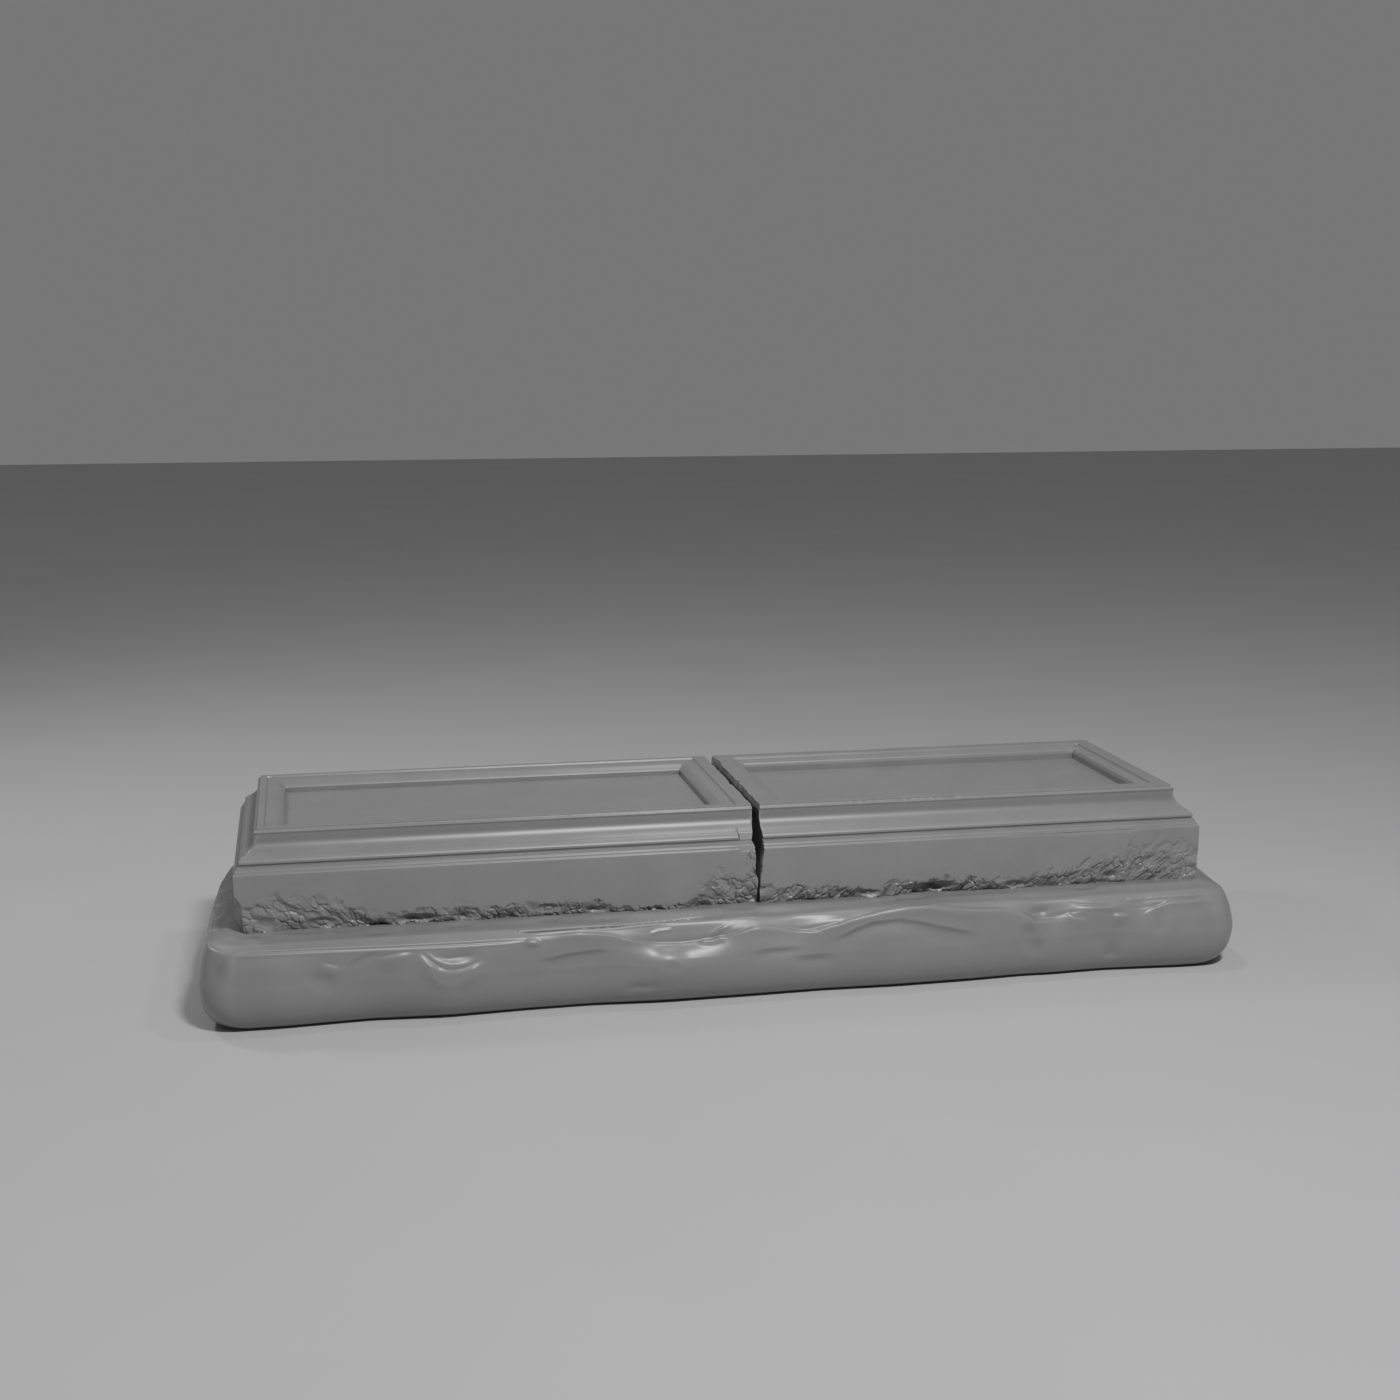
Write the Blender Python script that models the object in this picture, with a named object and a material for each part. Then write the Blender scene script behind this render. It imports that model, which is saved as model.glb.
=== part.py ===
# Double ledger tombstone: two moulded ledger stones laid end to end on one rounded base slab.
# Metres, +Z up. X runs along the stones, -Y is the front, and the origin is under the middle.

import math

import bmesh
import bpy

# Ledger stones
LEDGER_WIDTH = 1.000
LEFT_LEDGER_LENGTH = 1.818
RIGHT_LEDGER_LENGTH = 1.671
RIGHT_LEDGER_TURN = math.radians(-0.35)
BLOCK_HEIGHT = 0.205
JOINT_CRACK = 0.003
LEFT_JOINT_BREAK = 0.014
LEFT_JOINT_TOP_BREAK = 0.013
LEFT_JOINT_RIM = 0.003
RIGHT_JOINT_BREAK = 0.013
RIGHT_JOINT_TOP_BREAK = 0.001
RIGHT_JOINT_RIM = 0.025

# Outer moulding, member by member from the top flat down to the block
RIM_DROP = 0.006
RIM_SLOPE_OUT = 0.011
RIM_SLOPE_DROP = 0.0065
NECK_IN = 0.004
NECK_DROP = 0.008
COVE_OUT = 0.038
COVE_DROP = 0.064
COVE_POWER = 2.6
COVE_STEPS = 6
OVOLO_OUT = 0.019
OVOLO_DROP = 0.023
OVOLO_STEPS = 3
BEAD_DROP = 0.005
GROOVE_IN = 0.005
GROOVE_DROP = 0.006
FILLET_OUT = 0.013
FILLET_DROP = 0.015
WASH_OUT = 0.011
WASH_DROP = 0.007

# Sunk panel on top of each stone, measured in from the edge of the top flat
PANEL_BORDER = 0.0905
PANEL_STEP_IN = 0.0025
LEFT_RIM_WIDTH = 0.0225
LEFT_JOINT_RIM_EXTRA = 0.0215
LEFT_STEP_DROP = 0.0065
LEFT_BAND_WIDTH = 0.040
LEFT_BAND_DROP = 0.0015
LEFT_BEAD_WIDTH = 0.005
LEFT_BEAD_DROP = 0.003
LEFT_OGEE_DROP = 0.021
OGEE_STEPS = 3
LEFT_PANEL_DEPTH = 0.051
RIGHT_RIM_WIDTH = 0.0525
RIGHT_STEP_DROP = 0.008
RIGHT_SLOPE_WIDTH = 0.029
RIGHT_SLOPE_DROP = 0.0096
RIGHT_COVE_DROP = 0.015
RIGHT_PANEL_DEPTH = 0.055

# Broken band along the foot of each block: its usual height and depth, how much both waver
# along the front (mean share, wavering share, wavelength), and how they waver elsewhere
CHIP_HEIGHT = 0.045
CHIP_DEPTH = 0.022
HEIGHT_WAVER = (0.85, 0.35, 0.31)
DEPTH_WAVER = (0.80, 0.45, 0.23)
BREAK_WAVER = (0.90, 0.25, 0.17)
PLAIN_WAVER = (0.75, 0.30, 0.37)
PLAIN_DEPTH_SHARE = 0.7
CLEAN_SHARE = 0.85
# Raggedness from one point of the band to the next
ROUGH_DEPTH_SHARE = 0.75
ROUGH_HEIGHT_SHARE = 0.10
CHIP_LOW_SHARE = 0.35
FOOT_ROWS = 4
CHIP_SPACING = 0.030
PLAIN_CHIP_SPACING = 0.055
CORNER_BRUISE = 0.55
JOINT_CHIP_SHARE = 0.3
CORNER_REACH = 0.20
MAX_BREAK_SHARE = 0.86
# Larger breaks on the front: centre from the outer end, half length, added height, added depth
LEFT_BREAKS = ((0.20, 0.30, 0.085, 0.004), (1.72, 0.17, 0.110, 0.018))
LEFT_CLEAN_STRETCH = (1.42, 0.19)
RIGHT_BREAKS = ((0.10, 0.32, 0.095, 0.010), (0.36, 0.34, 0.050, 0.010), (1.02, 0.20, 0.012, 0.022))
RIGHT_CLEAN_STRETCH = (1.25, 0.08)
# How shallow the break gets at the front corners
LEFT_CORNER_SHARE = 0.35
RIGHT_CORNER_SHARE = 0.45

# Base slab
BASE_HEIGHT = 0.305
BASE_FRONT_REACH = 0.165
BASE_BACK_REACH = 0.115
BASE_LEFT_REACH = 0.135
BASE_RIGHT_REACH = 0.134
BASE_LEFT_TAPER = 0.050
BASE_CORNER_RADIUS = 0.120
BASE_FOOT_INSET = 0.090
BASE_FOOT_ROUND = 0.150
BASE_ARRIS_INSET = 0.038
BASE_ARRIS_DROP = 0.022
BASE_SHOULDER_DROP = 0.075
BASE_BROW_RISE = 0.006
BASE_BELLY_INSET = 0.004
BASE_LEDGE_INSET = 0.030
SEAT_MARGIN = 0.006
SEAT_CORNER_RADIUS = 0.010
SEAT_CLEARANCE = 0.0003
LEDGE_SAG = 0.006
BASE_LUMP = 0.010
BASE_RIPPLE = 0.006
BASE_FRONT_SPACING = 0.046
BASE_PLAIN_SPACING = 0.080
BASE_CORNER_STEPS = 5
FOOT_ROUND_STEPS = 4
# The worn front edge: (place from the left end of the stones, height above the ground)
BASE_FRONT_EDGE = (
    (-0.14, 0.280), (0.21, 0.278), (0.54, 0.272), (0.96, 0.265), (1.16, 0.272), (1.31, 0.246),
    (1.42, 0.224), (1.52, 0.218), (1.62, 0.226), (1.78, 0.259), (1.93, 0.232), (2.12, 0.268),
    (2.32, 0.297), (2.41, 0.299), (2.53, 0.268), (2.75, 0.253), (2.82, 0.222), (2.88, 0.225),
    (3.02, 0.254), (3.14, 0.255), (3.21, 0.240), (3.34, 0.260), (3.64, 0.262),
)
# How far the front face is drawn in behind its bulges, given the same way
BASE_FRONT_FACE = (
    (-0.14, 0.004), (0.15, 0.000), (0.45, 0.028), (0.70, 0.000), (0.98, 0.024), (1.20, 0.030),
    (1.45, 0.002), (1.78, 0.008), (2.03, 0.018), (2.29, 0.004), (2.55, 0.010), (2.80, 0.030),
    (2.89, 0.022), (3.09, 0.036), (3.40, 0.002), (3.64, 0.006),
)

# Colours, as linear red, green and blue
LEDGER_COLOR = (0.335, 0.335, 0.330, 1.0)
BASE_COLOR = (0.290, 0.290, 0.285, 1.0)
LEDGER_ROUGHNESS = 0.42
BASE_ROUGHNESS = 0.38


# A smooth hump: 1 in the middle, 0 from one unit away.
def hump(distance):
    if abs(distance) >= 1.0:
        return 0.0
    return 0.5 + 0.5 * math.cos(math.pi * distance)


# An even-looking unevenness between -1 and 1: three waves whose lengths don't divide each other.
def ripple(position, phase, wavelength):
    long_wave = math.sin(math.tau * position / wavelength + phase)
    middle_wave = math.sin(math.tau * position / (wavelength * 0.613) + 2.3 * phase + 0.8)
    short_wave = math.sin(math.tau * position / (wavelength * 0.371) + 3.7 * phase + 2.1)
    return 0.5 * long_wave + 0.3 * middle_wave + 0.2 * short_wave


# The outer moulding as (out, down) steps from the edge of the top flat to the block's arris.
def outer_moulding():
    points = [(0.0, 0.0), (0.0, RIM_DROP)]
    out = RIM_SLOPE_OUT
    drop = RIM_DROP + RIM_SLOPE_DROP
    points.append((out, drop))
    out -= NECK_IN
    drop += NECK_DROP
    points.append((out, drop))
    for step in range(1, COVE_STEPS + 1):
        share = step / COVE_STEPS
        points.append((out + COVE_OUT * share ** COVE_POWER, drop + COVE_DROP * share))
    out += COVE_OUT
    drop += COVE_DROP
    for step in range(1, OVOLO_STEPS + 1):
        turn = math.pi / 2 * step / OVOLO_STEPS
        points.append((out + OVOLO_OUT * math.sin(turn), drop + OVOLO_DROP * (1 - math.cos(turn))))
    out += OVOLO_OUT
    drop += OVOLO_DROP + BEAD_DROP
    points.append((out, drop))
    out -= GROOVE_IN
    points.append((out, drop + GROOVE_DROP / 2))
    drop += GROOVE_DROP
    out += FILLET_OUT
    points.append((out, drop))
    drop += FILLET_DROP
    points.append((out, drop))
    out += WASH_OUT
    drop += WASH_DROP
    points.append((out, drop))
    return points


# The left stone's panel edge as (in, down) steps: rim, step, flat band, bead, ogee and fillet.
def left_panel_edge():
    inward = LEFT_RIM_WIDTH
    points = [(inward, 0.0)]
    inward += PANEL_STEP_IN
    drop = LEFT_STEP_DROP
    points.append((inward, drop))
    inward += LEFT_BAND_WIDTH
    drop += LEFT_BAND_DROP
    points.append((inward, drop))
    inward += LEFT_BEAD_WIDTH
    drop += LEFT_BEAD_DROP
    points.append((inward, drop))
    ogee_width = PANEL_BORDER - inward
    for step in range(1, OGEE_STEPS + 1):
        share = step / OGEE_STEPS
        points.append((inward + ogee_width * share, drop + LEFT_OGEE_DROP * share ** 1.2))
    points.append((PANEL_BORDER, LEFT_PANEL_DEPTH))
    return points


# The right stone's panel edge: a wide rim, a step, a sloped band, a cove and a fillet.
def right_panel_edge():
    inward = RIGHT_RIM_WIDTH
    points = [(inward, 0.0)]
    inward += PANEL_STEP_IN
    drop = RIGHT_STEP_DROP
    points.append((inward, drop))
    inward += RIGHT_SLOPE_WIDTH
    drop += RIGHT_SLOPE_DROP
    points.append((inward, drop))
    drop += RIGHT_COVE_DROP
    points.append((PANEL_BORDER, drop))
    points.append((PANEL_BORDER, RIGHT_PANEL_DEPTH))
    return points


MOULDING_OUT = outer_moulding()[-1][0]
MOULDING_DROP = outer_moulding()[-1][1]
LEDGER_HEIGHT = BLOCK_HEIGHT + MOULDING_DROP
STONES_LENGTH = LEFT_LEDGER_LENGTH + JOINT_CRACK + RIGHT_LEDGER_LENGTH


# A share that wavers around its mean along a run.
def waver(shares, run, phase):
    mean, swing, wavelength = shares
    return mean + swing * ripple(run, phase, wavelength)


# How far up the front the stone is broken at a place, and how deep.
def front_break(along, stone):
    phase = stone["phase"]
    clean_centre, clean_half = stone["clean"]
    clean = 1.0 - CLEAN_SHARE * hump((along - clean_centre) / clean_half)
    height = CHIP_HEIGHT * clean * waver(HEIGHT_WAVER, along, phase)
    depth = CHIP_DEPTH * clean * waver(DEPTH_WAVER, along, phase + 1.4)
    for centre, half_length, more_height, more_depth in stone["breaks"]:
        share = hump((along - centre) / half_length)
        height += more_height * share * waver(BREAK_WAVER, along, phase + 2.2)
        depth += more_depth * share
    depth *= 1.0 - (1.0 - stone["corner_share"]) * hump(along / CORNER_REACH)
    return min(height, BLOCK_HEIGHT * MAX_BREAK_SHARE), depth


# The stations around a block's foot, in order: front, joint end, back and outer end.
def foot_stations(stone):
    length = stone["length"]
    phase = stone["phase"]
    width = LEDGER_WIDTH
    sides = (
        ("front", (0.0, 0.0), (length, 0.0), (0, 1), CHIP_SPACING),
        ("joint", (length, 0.0), (length, width), (-1, 0), PLAIN_CHIP_SPACING),
        ("back", (length, width), (0.0, width), (0, -1), PLAIN_CHIP_SPACING),
        ("outer", (0.0, width), (0.0, 0.0), (1, 0), PLAIN_CHIP_SPACING),
    )
    stations = []
    for number, (side, start, end, inward, spacing) in enumerate(sides):
        run = abs(end[0] - start[0]) + abs(end[1] - start[1])
        columns = max(4, round(run / spacing))
        before = sides[number - 1][3]
        for column in range(columns):
            share = column / columns
            along = start[0] + (end[0] - start[0]) * share
            across = start[1] + (end[1] - start[1]) * share
            turn = inward
            if column == 0:
                turn = (inward[0] + before[0], inward[1] + before[1])
            # Near the front corners the other sides take over the front's breaks.
            at_front = hump(across / CORNER_REACH)
            front_height, front_depth = front_break(along, stone)
            plain = waver(PLAIN_WAVER, run * share, phase + number)
            height = CHIP_HEIGHT * plain * (1 - at_front) + front_height * at_front
            plain_depth = CHIP_DEPTH * PLAIN_DEPTH_SHARE * plain
            depth = plain_depth * (1 - at_front) + front_depth * at_front
            if column == 0:
                depth *= 1 + CORNER_BRUISE
            stations.append((side, along, across, turn, height, depth))
    return stations


# One row of points of the broken band; row 0 lies on the sound face and the last row is the foot.
def foot_row(stations, row, joint_break, phase):
    points = []
    share_up = 1 - row / FOOT_ROWS
    for number, (side, along, across, turn, height, depth) in enumerate(stations):
        up = height * share_up
        if row == 0:
            deep = 0.0
        else:
            rough = ripple(number, phase + 1.9 * row, 7.3)
            low_share = 1 - CHIP_LOW_SHARE * share_up
            deep = depth * low_share * (1 + ROUGH_DEPTH_SHARE * rough)
            if 0 < row < FOOT_ROWS:
                up += height * ROUGH_HEIGHT_SHARE * ripple(number, phase + 3.1 * row, 5.1)
        if side == "joint":
            deep *= JOINT_CHIP_SHARE
            along -= joint_break * min(1.0, up / CHIP_HEIGHT)
        points.append((along + turn[0] * deep, across + turn[1] * deep, up))
    return points


# Faces between two closed rows of the same number of points.
def join_rows(mesh, lower, upper):
    count = len(lower)
    for number in range(count):
        following = (number + 1) % count
        mesh.faces.new((lower[number], lower[following], upper[following], upper[number]))


# The four corners of a moulding or panel step, in the stations' order.
def step_corners(length, inset, joint_inset, height):
    width = LEDGER_WIDTH
    return (
        (inset, inset, height),
        (length - joint_inset, inset, height),
        (length - joint_inset, width - inset, height),
        (inset, width - inset, height),
    )


# A ledger stone, built from its outer end at 0 to its joint end at its length.
# place turns a point (along, across, up) of the stone into a point of the model.
def build_ledger(name, stone, place, material):
    mesh = bmesh.new()

    def add_points(points):
        return [mesh.verts.new(place(*point)) for point in points]

    length = stone["length"]
    stations = foot_stations(stone)
    rows = []
    for row in range(FOOT_ROWS, -1, -1):
        rows.append(add_points(foot_row(stations, row, stone["joint_break"], stone["phase"])))
    for lower, upper in zip(rows, rows[1:]):
        join_rows(mesh, lower, upper)
    mesh.faces.new(rows[0])

    rings = []
    for out, drop in reversed(outer_moulding()):
        joint_inset = stone["joint_break"]
        if drop < COVE_DROP:
            joint_inset = stone["joint_top_break"]
        if drop < RIM_DROP + RIM_SLOPE_DROP:
            joint_inset += stone["joint_rim"]
        height = LEDGER_HEIGHT - drop
        rings.append(step_corners(length, MOULDING_OUT - out, joint_inset, height))
    top_joint_inset = stone["joint_top_break"] + stone["joint_rim"]
    for inward, drop in stone["panel_edge"]:
        joint_inset = top_joint_inset + stone["joint_rim_extra"] + inward
        height = LEDGER_HEIGHT - drop
        rings.append(step_corners(length, MOULDING_OUT + inward, joint_inset, height))
    rings = [add_points(ring) for ring in rings]

    # The four sound faces of the block, from the broken band up to the arris.
    arris = rings[0]
    sound_edge = rows[-1]
    starts = [number for number, station in enumerate(stations)
              if number == 0 or station[0] != stations[number - 1][0]]
    for side, start in enumerate(starts):
        end = starts[side + 1] if side + 1 < len(starts) else len(stations)
        edge = [sound_edge[number % len(stations)] for number in range(start, end + 1)]
        mesh.faces.new(edge + [arris[(side + 1) % 4], arris[side]])

    for lower, upper in zip(rings, rings[1:]):
        join_rows(mesh, lower, upper)
    mesh.faces.new(rings[-1])
    return finish_object(name, mesh, material)


# A rounded rectangle in plan: for each point its place, its outward turn and its side.
def rounded_rectangle(low, high, radius):
    corners = (
        ((low[0] + radius, low[1] + radius), math.pi, "front"),
        ((high[0] - radius, low[1] + radius), 1.5 * math.pi, "right"),
        ((high[0] - radius, high[1] - radius), 0.0, "back"),
        ((low[0] + radius, high[1] - radius), 0.5 * math.pi, "left"),
    )
    whole_length = STONES_LENGTH + BASE_LEFT_REACH + BASE_RIGHT_REACH
    whole_depth = LEDGER_WIDTH + BASE_FRONT_REACH + BASE_BACK_REACH
    counts = (
        round(whole_length / BASE_FRONT_SPACING),
        round(whole_depth / BASE_PLAIN_SPACING),
        round(whole_length / BASE_PLAIN_SPACING),
        round(whole_depth / BASE_PLAIN_SPACING),
    )
    points = []
    for number, (centre, first_turn, side) in enumerate(corners):
        for step in range(BASE_CORNER_STEPS + 1):
            turn = first_turn + math.pi / 2 * step / BASE_CORNER_STEPS
            outward = (math.cos(turn), math.sin(turn))
            x = centre[0] + radius * outward[0]
            y = centre[1] + radius * outward[1]
            points.append((x, y, outward, side))
        next_centre = corners[(number + 1) % 4][0]
        outward = (math.cos(first_turn + math.pi / 2), math.sin(first_turn + math.pi / 2))
        columns = counts[number]
        for column in range(1, columns):
            share = column / columns
            x = centre[0] + (next_centre[0] - centre[0]) * share + radius * outward[0]
            y = centre[1] + (next_centre[1] - centre[1]) * share + radius * outward[1]
            points.append((x, y, outward, side))
    return points


# The base slab as closed rings from its underside up to the flat seat under the stones: inset,
# height, and the shares of the front face's bulges and of the edge's wear that a ring takes.
def base_rings():
    shoulder = BASE_HEIGHT - BASE_SHOULDER_DROP
    arris = BASE_HEIGHT - BASE_ARRIS_DROP
    rings = []
    for step in range(FOOT_ROUND_STEPS + 1):
        turn = math.pi / 2 * step / FOOT_ROUND_STEPS
        inset = BASE_FOOT_INSET * (1 - math.sin(turn))
        height = BASE_FOOT_ROUND * (1 - math.cos(turn))
        rings.append((inset, height, 0.6 + 0.4 * step / FOOT_ROUND_STEPS, 0.0))
    rings.append((BASE_BELLY_INSET, (BASE_FOOT_ROUND + shoulder) / 2, 0.80, 0.05))
    rings.append((BASE_ARRIS_INSET * 0.30, shoulder, 0.50, 0.18))
    rings.append((BASE_ARRIS_INSET * 0.62, (shoulder + arris) / 2 + BASE_BROW_RISE, 0.15, 0.30))
    rings.append((BASE_ARRIS_INSET, arris, 0.0, 0.35))
    rings.append((BASE_ARRIS_INSET + BASE_LEDGE_INSET, BASE_HEIGHT - LEDGE_SAG, 0.0, 0.10))
    return rings


# A value between the entries of a table of (place, value) pairs.
def between(table, place):
    for (start, low), (end, high) in zip(table, table[1:]):
        if place <= end:
            share = max(0.0, (place - start) / (end - start))
            return low + (high - low) * share
    return table[-1][1]


# The height of a ring where the front edge is worn down to a given height.
def worn_height(height, edge):
    arris = BASE_HEIGHT - BASE_ARRIS_DROP
    if height <= BASE_FOOT_ROUND:
        return height
    if height <= arris:
        share = (height - BASE_FOOT_ROUND) / (arris - BASE_FOOT_ROUND)
        return BASE_FOOT_ROUND + share * (edge - BASE_FOOT_ROUND)
    share = (height - arris) / (BASE_HEIGHT - arris)
    return edge + share * (BASE_HEIGHT - edge)


def build_base(material):
    mesh = bmesh.new()
    low = (-BASE_LEFT_REACH, -BASE_FRONT_REACH)
    high = (STONES_LENGTH + BASE_RIGHT_REACH, LEDGER_WIDTH + BASE_BACK_REACH)
    shoulder = BASE_HEIGHT - BASE_SHOULDER_DROP
    arris = BASE_HEIGHT - BASE_ARRIS_DROP
    rows = []
    for inset, height, face_share, edge_share in base_rings():
        row = []
        ring_low = (low[0] + inset, low[1] + inset)
        ring_high = (high[0] - inset, high[1] - inset)
        for x, y, outward, side in rounded_rectangle(ring_low, ring_high, BASE_CORNER_RADIUS - inset * 0.5):
            run = x - y
            at_front = max(0.0, -outward[1])
            plain_lump = BASE_LUMP * (ripple(run, 0.6 + 2.2 * height, 0.83) - 1)
            edge = between(BASE_FRONT_EDGE, x)
            front_lump = -face_share * between(BASE_FRONT_FACE, x) - edge_share * max(0.0, arris - edge)
            lump = plain_lump * (1 - at_front) + front_lump * at_front
            rise = 0.0
            if height > shoulder:
                rise = BASE_RIPPLE * ripple(run, 1.1, 0.47)
            up = (height + rise) * (1 - at_front) + worn_height(height, edge) * at_front
            if side == "left" or x < 0.0:
                x += BASE_LEFT_TAPER * max(0.0, y / LEDGER_WIDTH) ** 2
            row.append(mesh.verts.new((x + outward[0] * lump, y + outward[1] * lump, up)))
        rows.append(row)
    seat_low = (-SEAT_MARGIN, -SEAT_MARGIN)
    seat_high = (STONES_LENGTH + SEAT_MARGIN, LEDGER_WIDTH + SEAT_MARGIN)
    seat = [mesh.verts.new((x, y, BASE_HEIGHT))
            for x, y, _, _ in rounded_rectangle(seat_low, seat_high, SEAT_CORNER_RADIUS)]
    rows.append(seat)
    for lower, upper in zip(rows, rows[1:]):
        join_rows(mesh, lower, upper)
    mesh.faces.new(rows[0])
    mesh.faces.new(seat)
    return finish_object("base_slab", mesh, material)


# Turns the built faces into an object of triangles that face outwards.
def finish_object(name, mesh, material):
    bmesh.ops.triangulate(mesh, faces=mesh.faces[:], ngon_method="BEAUTY")
    bmesh.ops.recalc_face_normals(mesh, faces=mesh.faces[:])
    data = bpy.data.meshes.new(name)
    mesh.to_mesh(data)
    mesh.free()
    data.materials.append(material)
    piece = bpy.data.objects.new(name, data)
    bpy.context.collection.objects.link(piece)
    return piece


def stone_material(name, color, roughness):
    material = bpy.data.materials.new(name)
    material.use_nodes = True
    shader = material.node_tree.nodes["Principled BSDF"]
    shader.inputs["Base Color"].default_value = color
    shader.inputs["Roughness"].default_value = roughness
    shader.inputs["Metallic"].default_value = 0.0
    return material


# The two stones rest on the slab's seat, a hair above it.
def left_place(along, across, up):
    return (along, across, BASE_HEIGHT + SEAT_CLEARANCE + up)


# The right stone lies a little out of line, turned about the front corner of its joint end.
def right_place(along, across, up):
    from_joint = RIGHT_LEDGER_LENGTH - along
    x = from_joint * math.cos(RIGHT_LEDGER_TURN) - across * math.sin(RIGHT_LEDGER_TURN)
    y = from_joint * math.sin(RIGHT_LEDGER_TURN) + across * math.cos(RIGHT_LEDGER_TURN)
    return (LEFT_LEDGER_LENGTH + JOINT_CRACK + x, y, BASE_HEIGHT + SEAT_CLEARANCE + up)


def main():
    for item in list(bpy.data.objects):
        bpy.data.objects.remove(item, do_unlink=True)

    dressed_stone = stone_material("dressed_stone", LEDGER_COLOR, LEDGER_ROUGHNESS)
    worn_stone = stone_material("worn_stone", BASE_COLOR, BASE_ROUGHNESS)

    left_stone = {
        "length": LEFT_LEDGER_LENGTH,
        "joint_break": LEFT_JOINT_BREAK,
        "joint_top_break": LEFT_JOINT_TOP_BREAK,
        "joint_rim": LEFT_JOINT_RIM,
        "joint_rim_extra": LEFT_JOINT_RIM_EXTRA,
        "panel_edge": left_panel_edge(),
        "breaks": LEFT_BREAKS,
        "clean": LEFT_CLEAN_STRETCH,
        "corner_share": LEFT_CORNER_SHARE,
        "phase": 0.4,
    }
    right_stone = {
        "length": RIGHT_LEDGER_LENGTH,
        "joint_break": RIGHT_JOINT_BREAK,
        "joint_top_break": RIGHT_JOINT_TOP_BREAK,
        "joint_rim": RIGHT_JOINT_RIM,
        "joint_rim_extra": 0.0,
        "panel_edge": right_panel_edge(),
        "breaks": RIGHT_BREAKS,
        "clean": RIGHT_CLEAN_STRETCH,
        "corner_share": RIGHT_CORNER_SHARE,
        "phase": 2.6,
    }
    pieces = [
        build_base(worn_stone),
        build_ledger("ledger_left", left_stone, left_place, dressed_stone),
        build_ledger("ledger_right", right_stone, right_place, dressed_stone),
    ]

    # The stones are built from the left stone's front corner; the empty carries them to the
    # middle of the slab's box, standing on its underside.
    slab = pieces[0].data.vertices
    middle_x = (min(v.co.x for v in slab) + max(v.co.x for v in slab)) / 2
    middle_y = (min(v.co.y for v in slab) + max(v.co.y for v in slab)) / 2
    tombstone = bpy.data.objects.new("tombstone", None)
    bpy.context.collection.objects.link(tombstone)
    tombstone.location = (-middle_x, -middle_y, 0.0)
    for piece in pieces:
        piece.parent = tombstone


main()
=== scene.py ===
import math
import bmesh
import bpy
import numpy as np
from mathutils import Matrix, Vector, noise


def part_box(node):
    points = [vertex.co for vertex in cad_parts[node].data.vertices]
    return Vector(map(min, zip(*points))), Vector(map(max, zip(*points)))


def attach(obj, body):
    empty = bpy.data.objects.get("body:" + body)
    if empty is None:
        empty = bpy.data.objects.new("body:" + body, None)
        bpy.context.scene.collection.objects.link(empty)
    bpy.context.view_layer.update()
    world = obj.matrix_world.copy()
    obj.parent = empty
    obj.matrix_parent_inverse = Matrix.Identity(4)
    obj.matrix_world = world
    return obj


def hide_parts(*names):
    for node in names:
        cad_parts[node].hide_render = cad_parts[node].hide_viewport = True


# Double ledger tombstone: two moulded ledger stones laid end to end on a worn base slab.
# The stones are carved in their own frame (along from the outer end, across from the
# front, up from the foot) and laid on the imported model's seat afterwards.
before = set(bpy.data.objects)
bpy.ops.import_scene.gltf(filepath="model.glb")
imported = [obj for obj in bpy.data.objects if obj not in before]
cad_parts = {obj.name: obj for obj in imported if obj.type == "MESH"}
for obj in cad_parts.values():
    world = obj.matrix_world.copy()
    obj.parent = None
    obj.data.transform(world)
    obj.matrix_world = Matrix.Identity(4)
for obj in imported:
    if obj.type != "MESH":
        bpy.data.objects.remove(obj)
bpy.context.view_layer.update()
leftLow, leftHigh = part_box("ledger_left")
slabLow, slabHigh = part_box("base_slab")
seatUp = leftLow.z
stonesFront = leftLow.y
stonesLeft = leftLow.x
print("frame loaded, seat at", round(seatUp, 4))
noise.seed_set(3)    # noise_vector starts from another place at each run without it


# Helpers
def hump(distance):
    # 1 in the middle, 0 from one unit away
    return np.where(np.abs(distance) < 1, 0.5 + 0.5 * np.cos(np.pi * np.clip(distance, -1, 1)), 0.0)


def ripple(position, phase, wavelength):
    # an even unevenness between -1 and 1
    return (0.5 * np.sin(math.tau * position / wavelength + phase)
            + 0.3 * np.sin(math.tau * position / (wavelength * 0.613) + 2.3 * phase + 0.8)
            + 0.2 * np.sin(math.tau * position / (wavelength * 0.371) + 3.7 * phase + 2.1))


def ease(value):
    # from 0 to 1 without a corner at either end
    value = np.clip(value, 0, 1)
    return value * value * (3 - 2 * value)


def readPoints(piece, kind="co"):
    # the points' places, or with kind "normal" their normals
    values = np.empty(len(piece.data.vertices) * 3)
    piece.data.vertices.foreach_get(kind, values)
    return values.reshape(-1, 3)


def writePoints(piece, points):
    piece.data.vertices.foreach_set("co", points.astype(np.float32).ravel())
    piece.data.update()


def storeValue(piece, name, values):
    layer = piece.data.attributes.new(name, "FLOAT", "POINT")
    layer.data.foreach_set("value", np.asarray(values, dtype=np.float32))


def pickOnly(piece):
    bpy.ops.object.select_all(action="DESELECT")
    piece.select_set(True)
    bpy.context.view_layer.objects.active = piece


def selectEdges(piece, wanted):
    # wanted gets the two ends of an edge
    bpy.ops.mesh.select_mode(type="EDGE")
    bpy.ops.mesh.select_all(action="DESELECT")
    mesh = bmesh.from_edit_mesh(piece.data)
    for edge in mesh.edges:
        if wanted(edge.verts[0].co, edge.verts[1].co):
            edge.select_set(True)
    bmesh.update_edit_mesh(piece.data)


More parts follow.
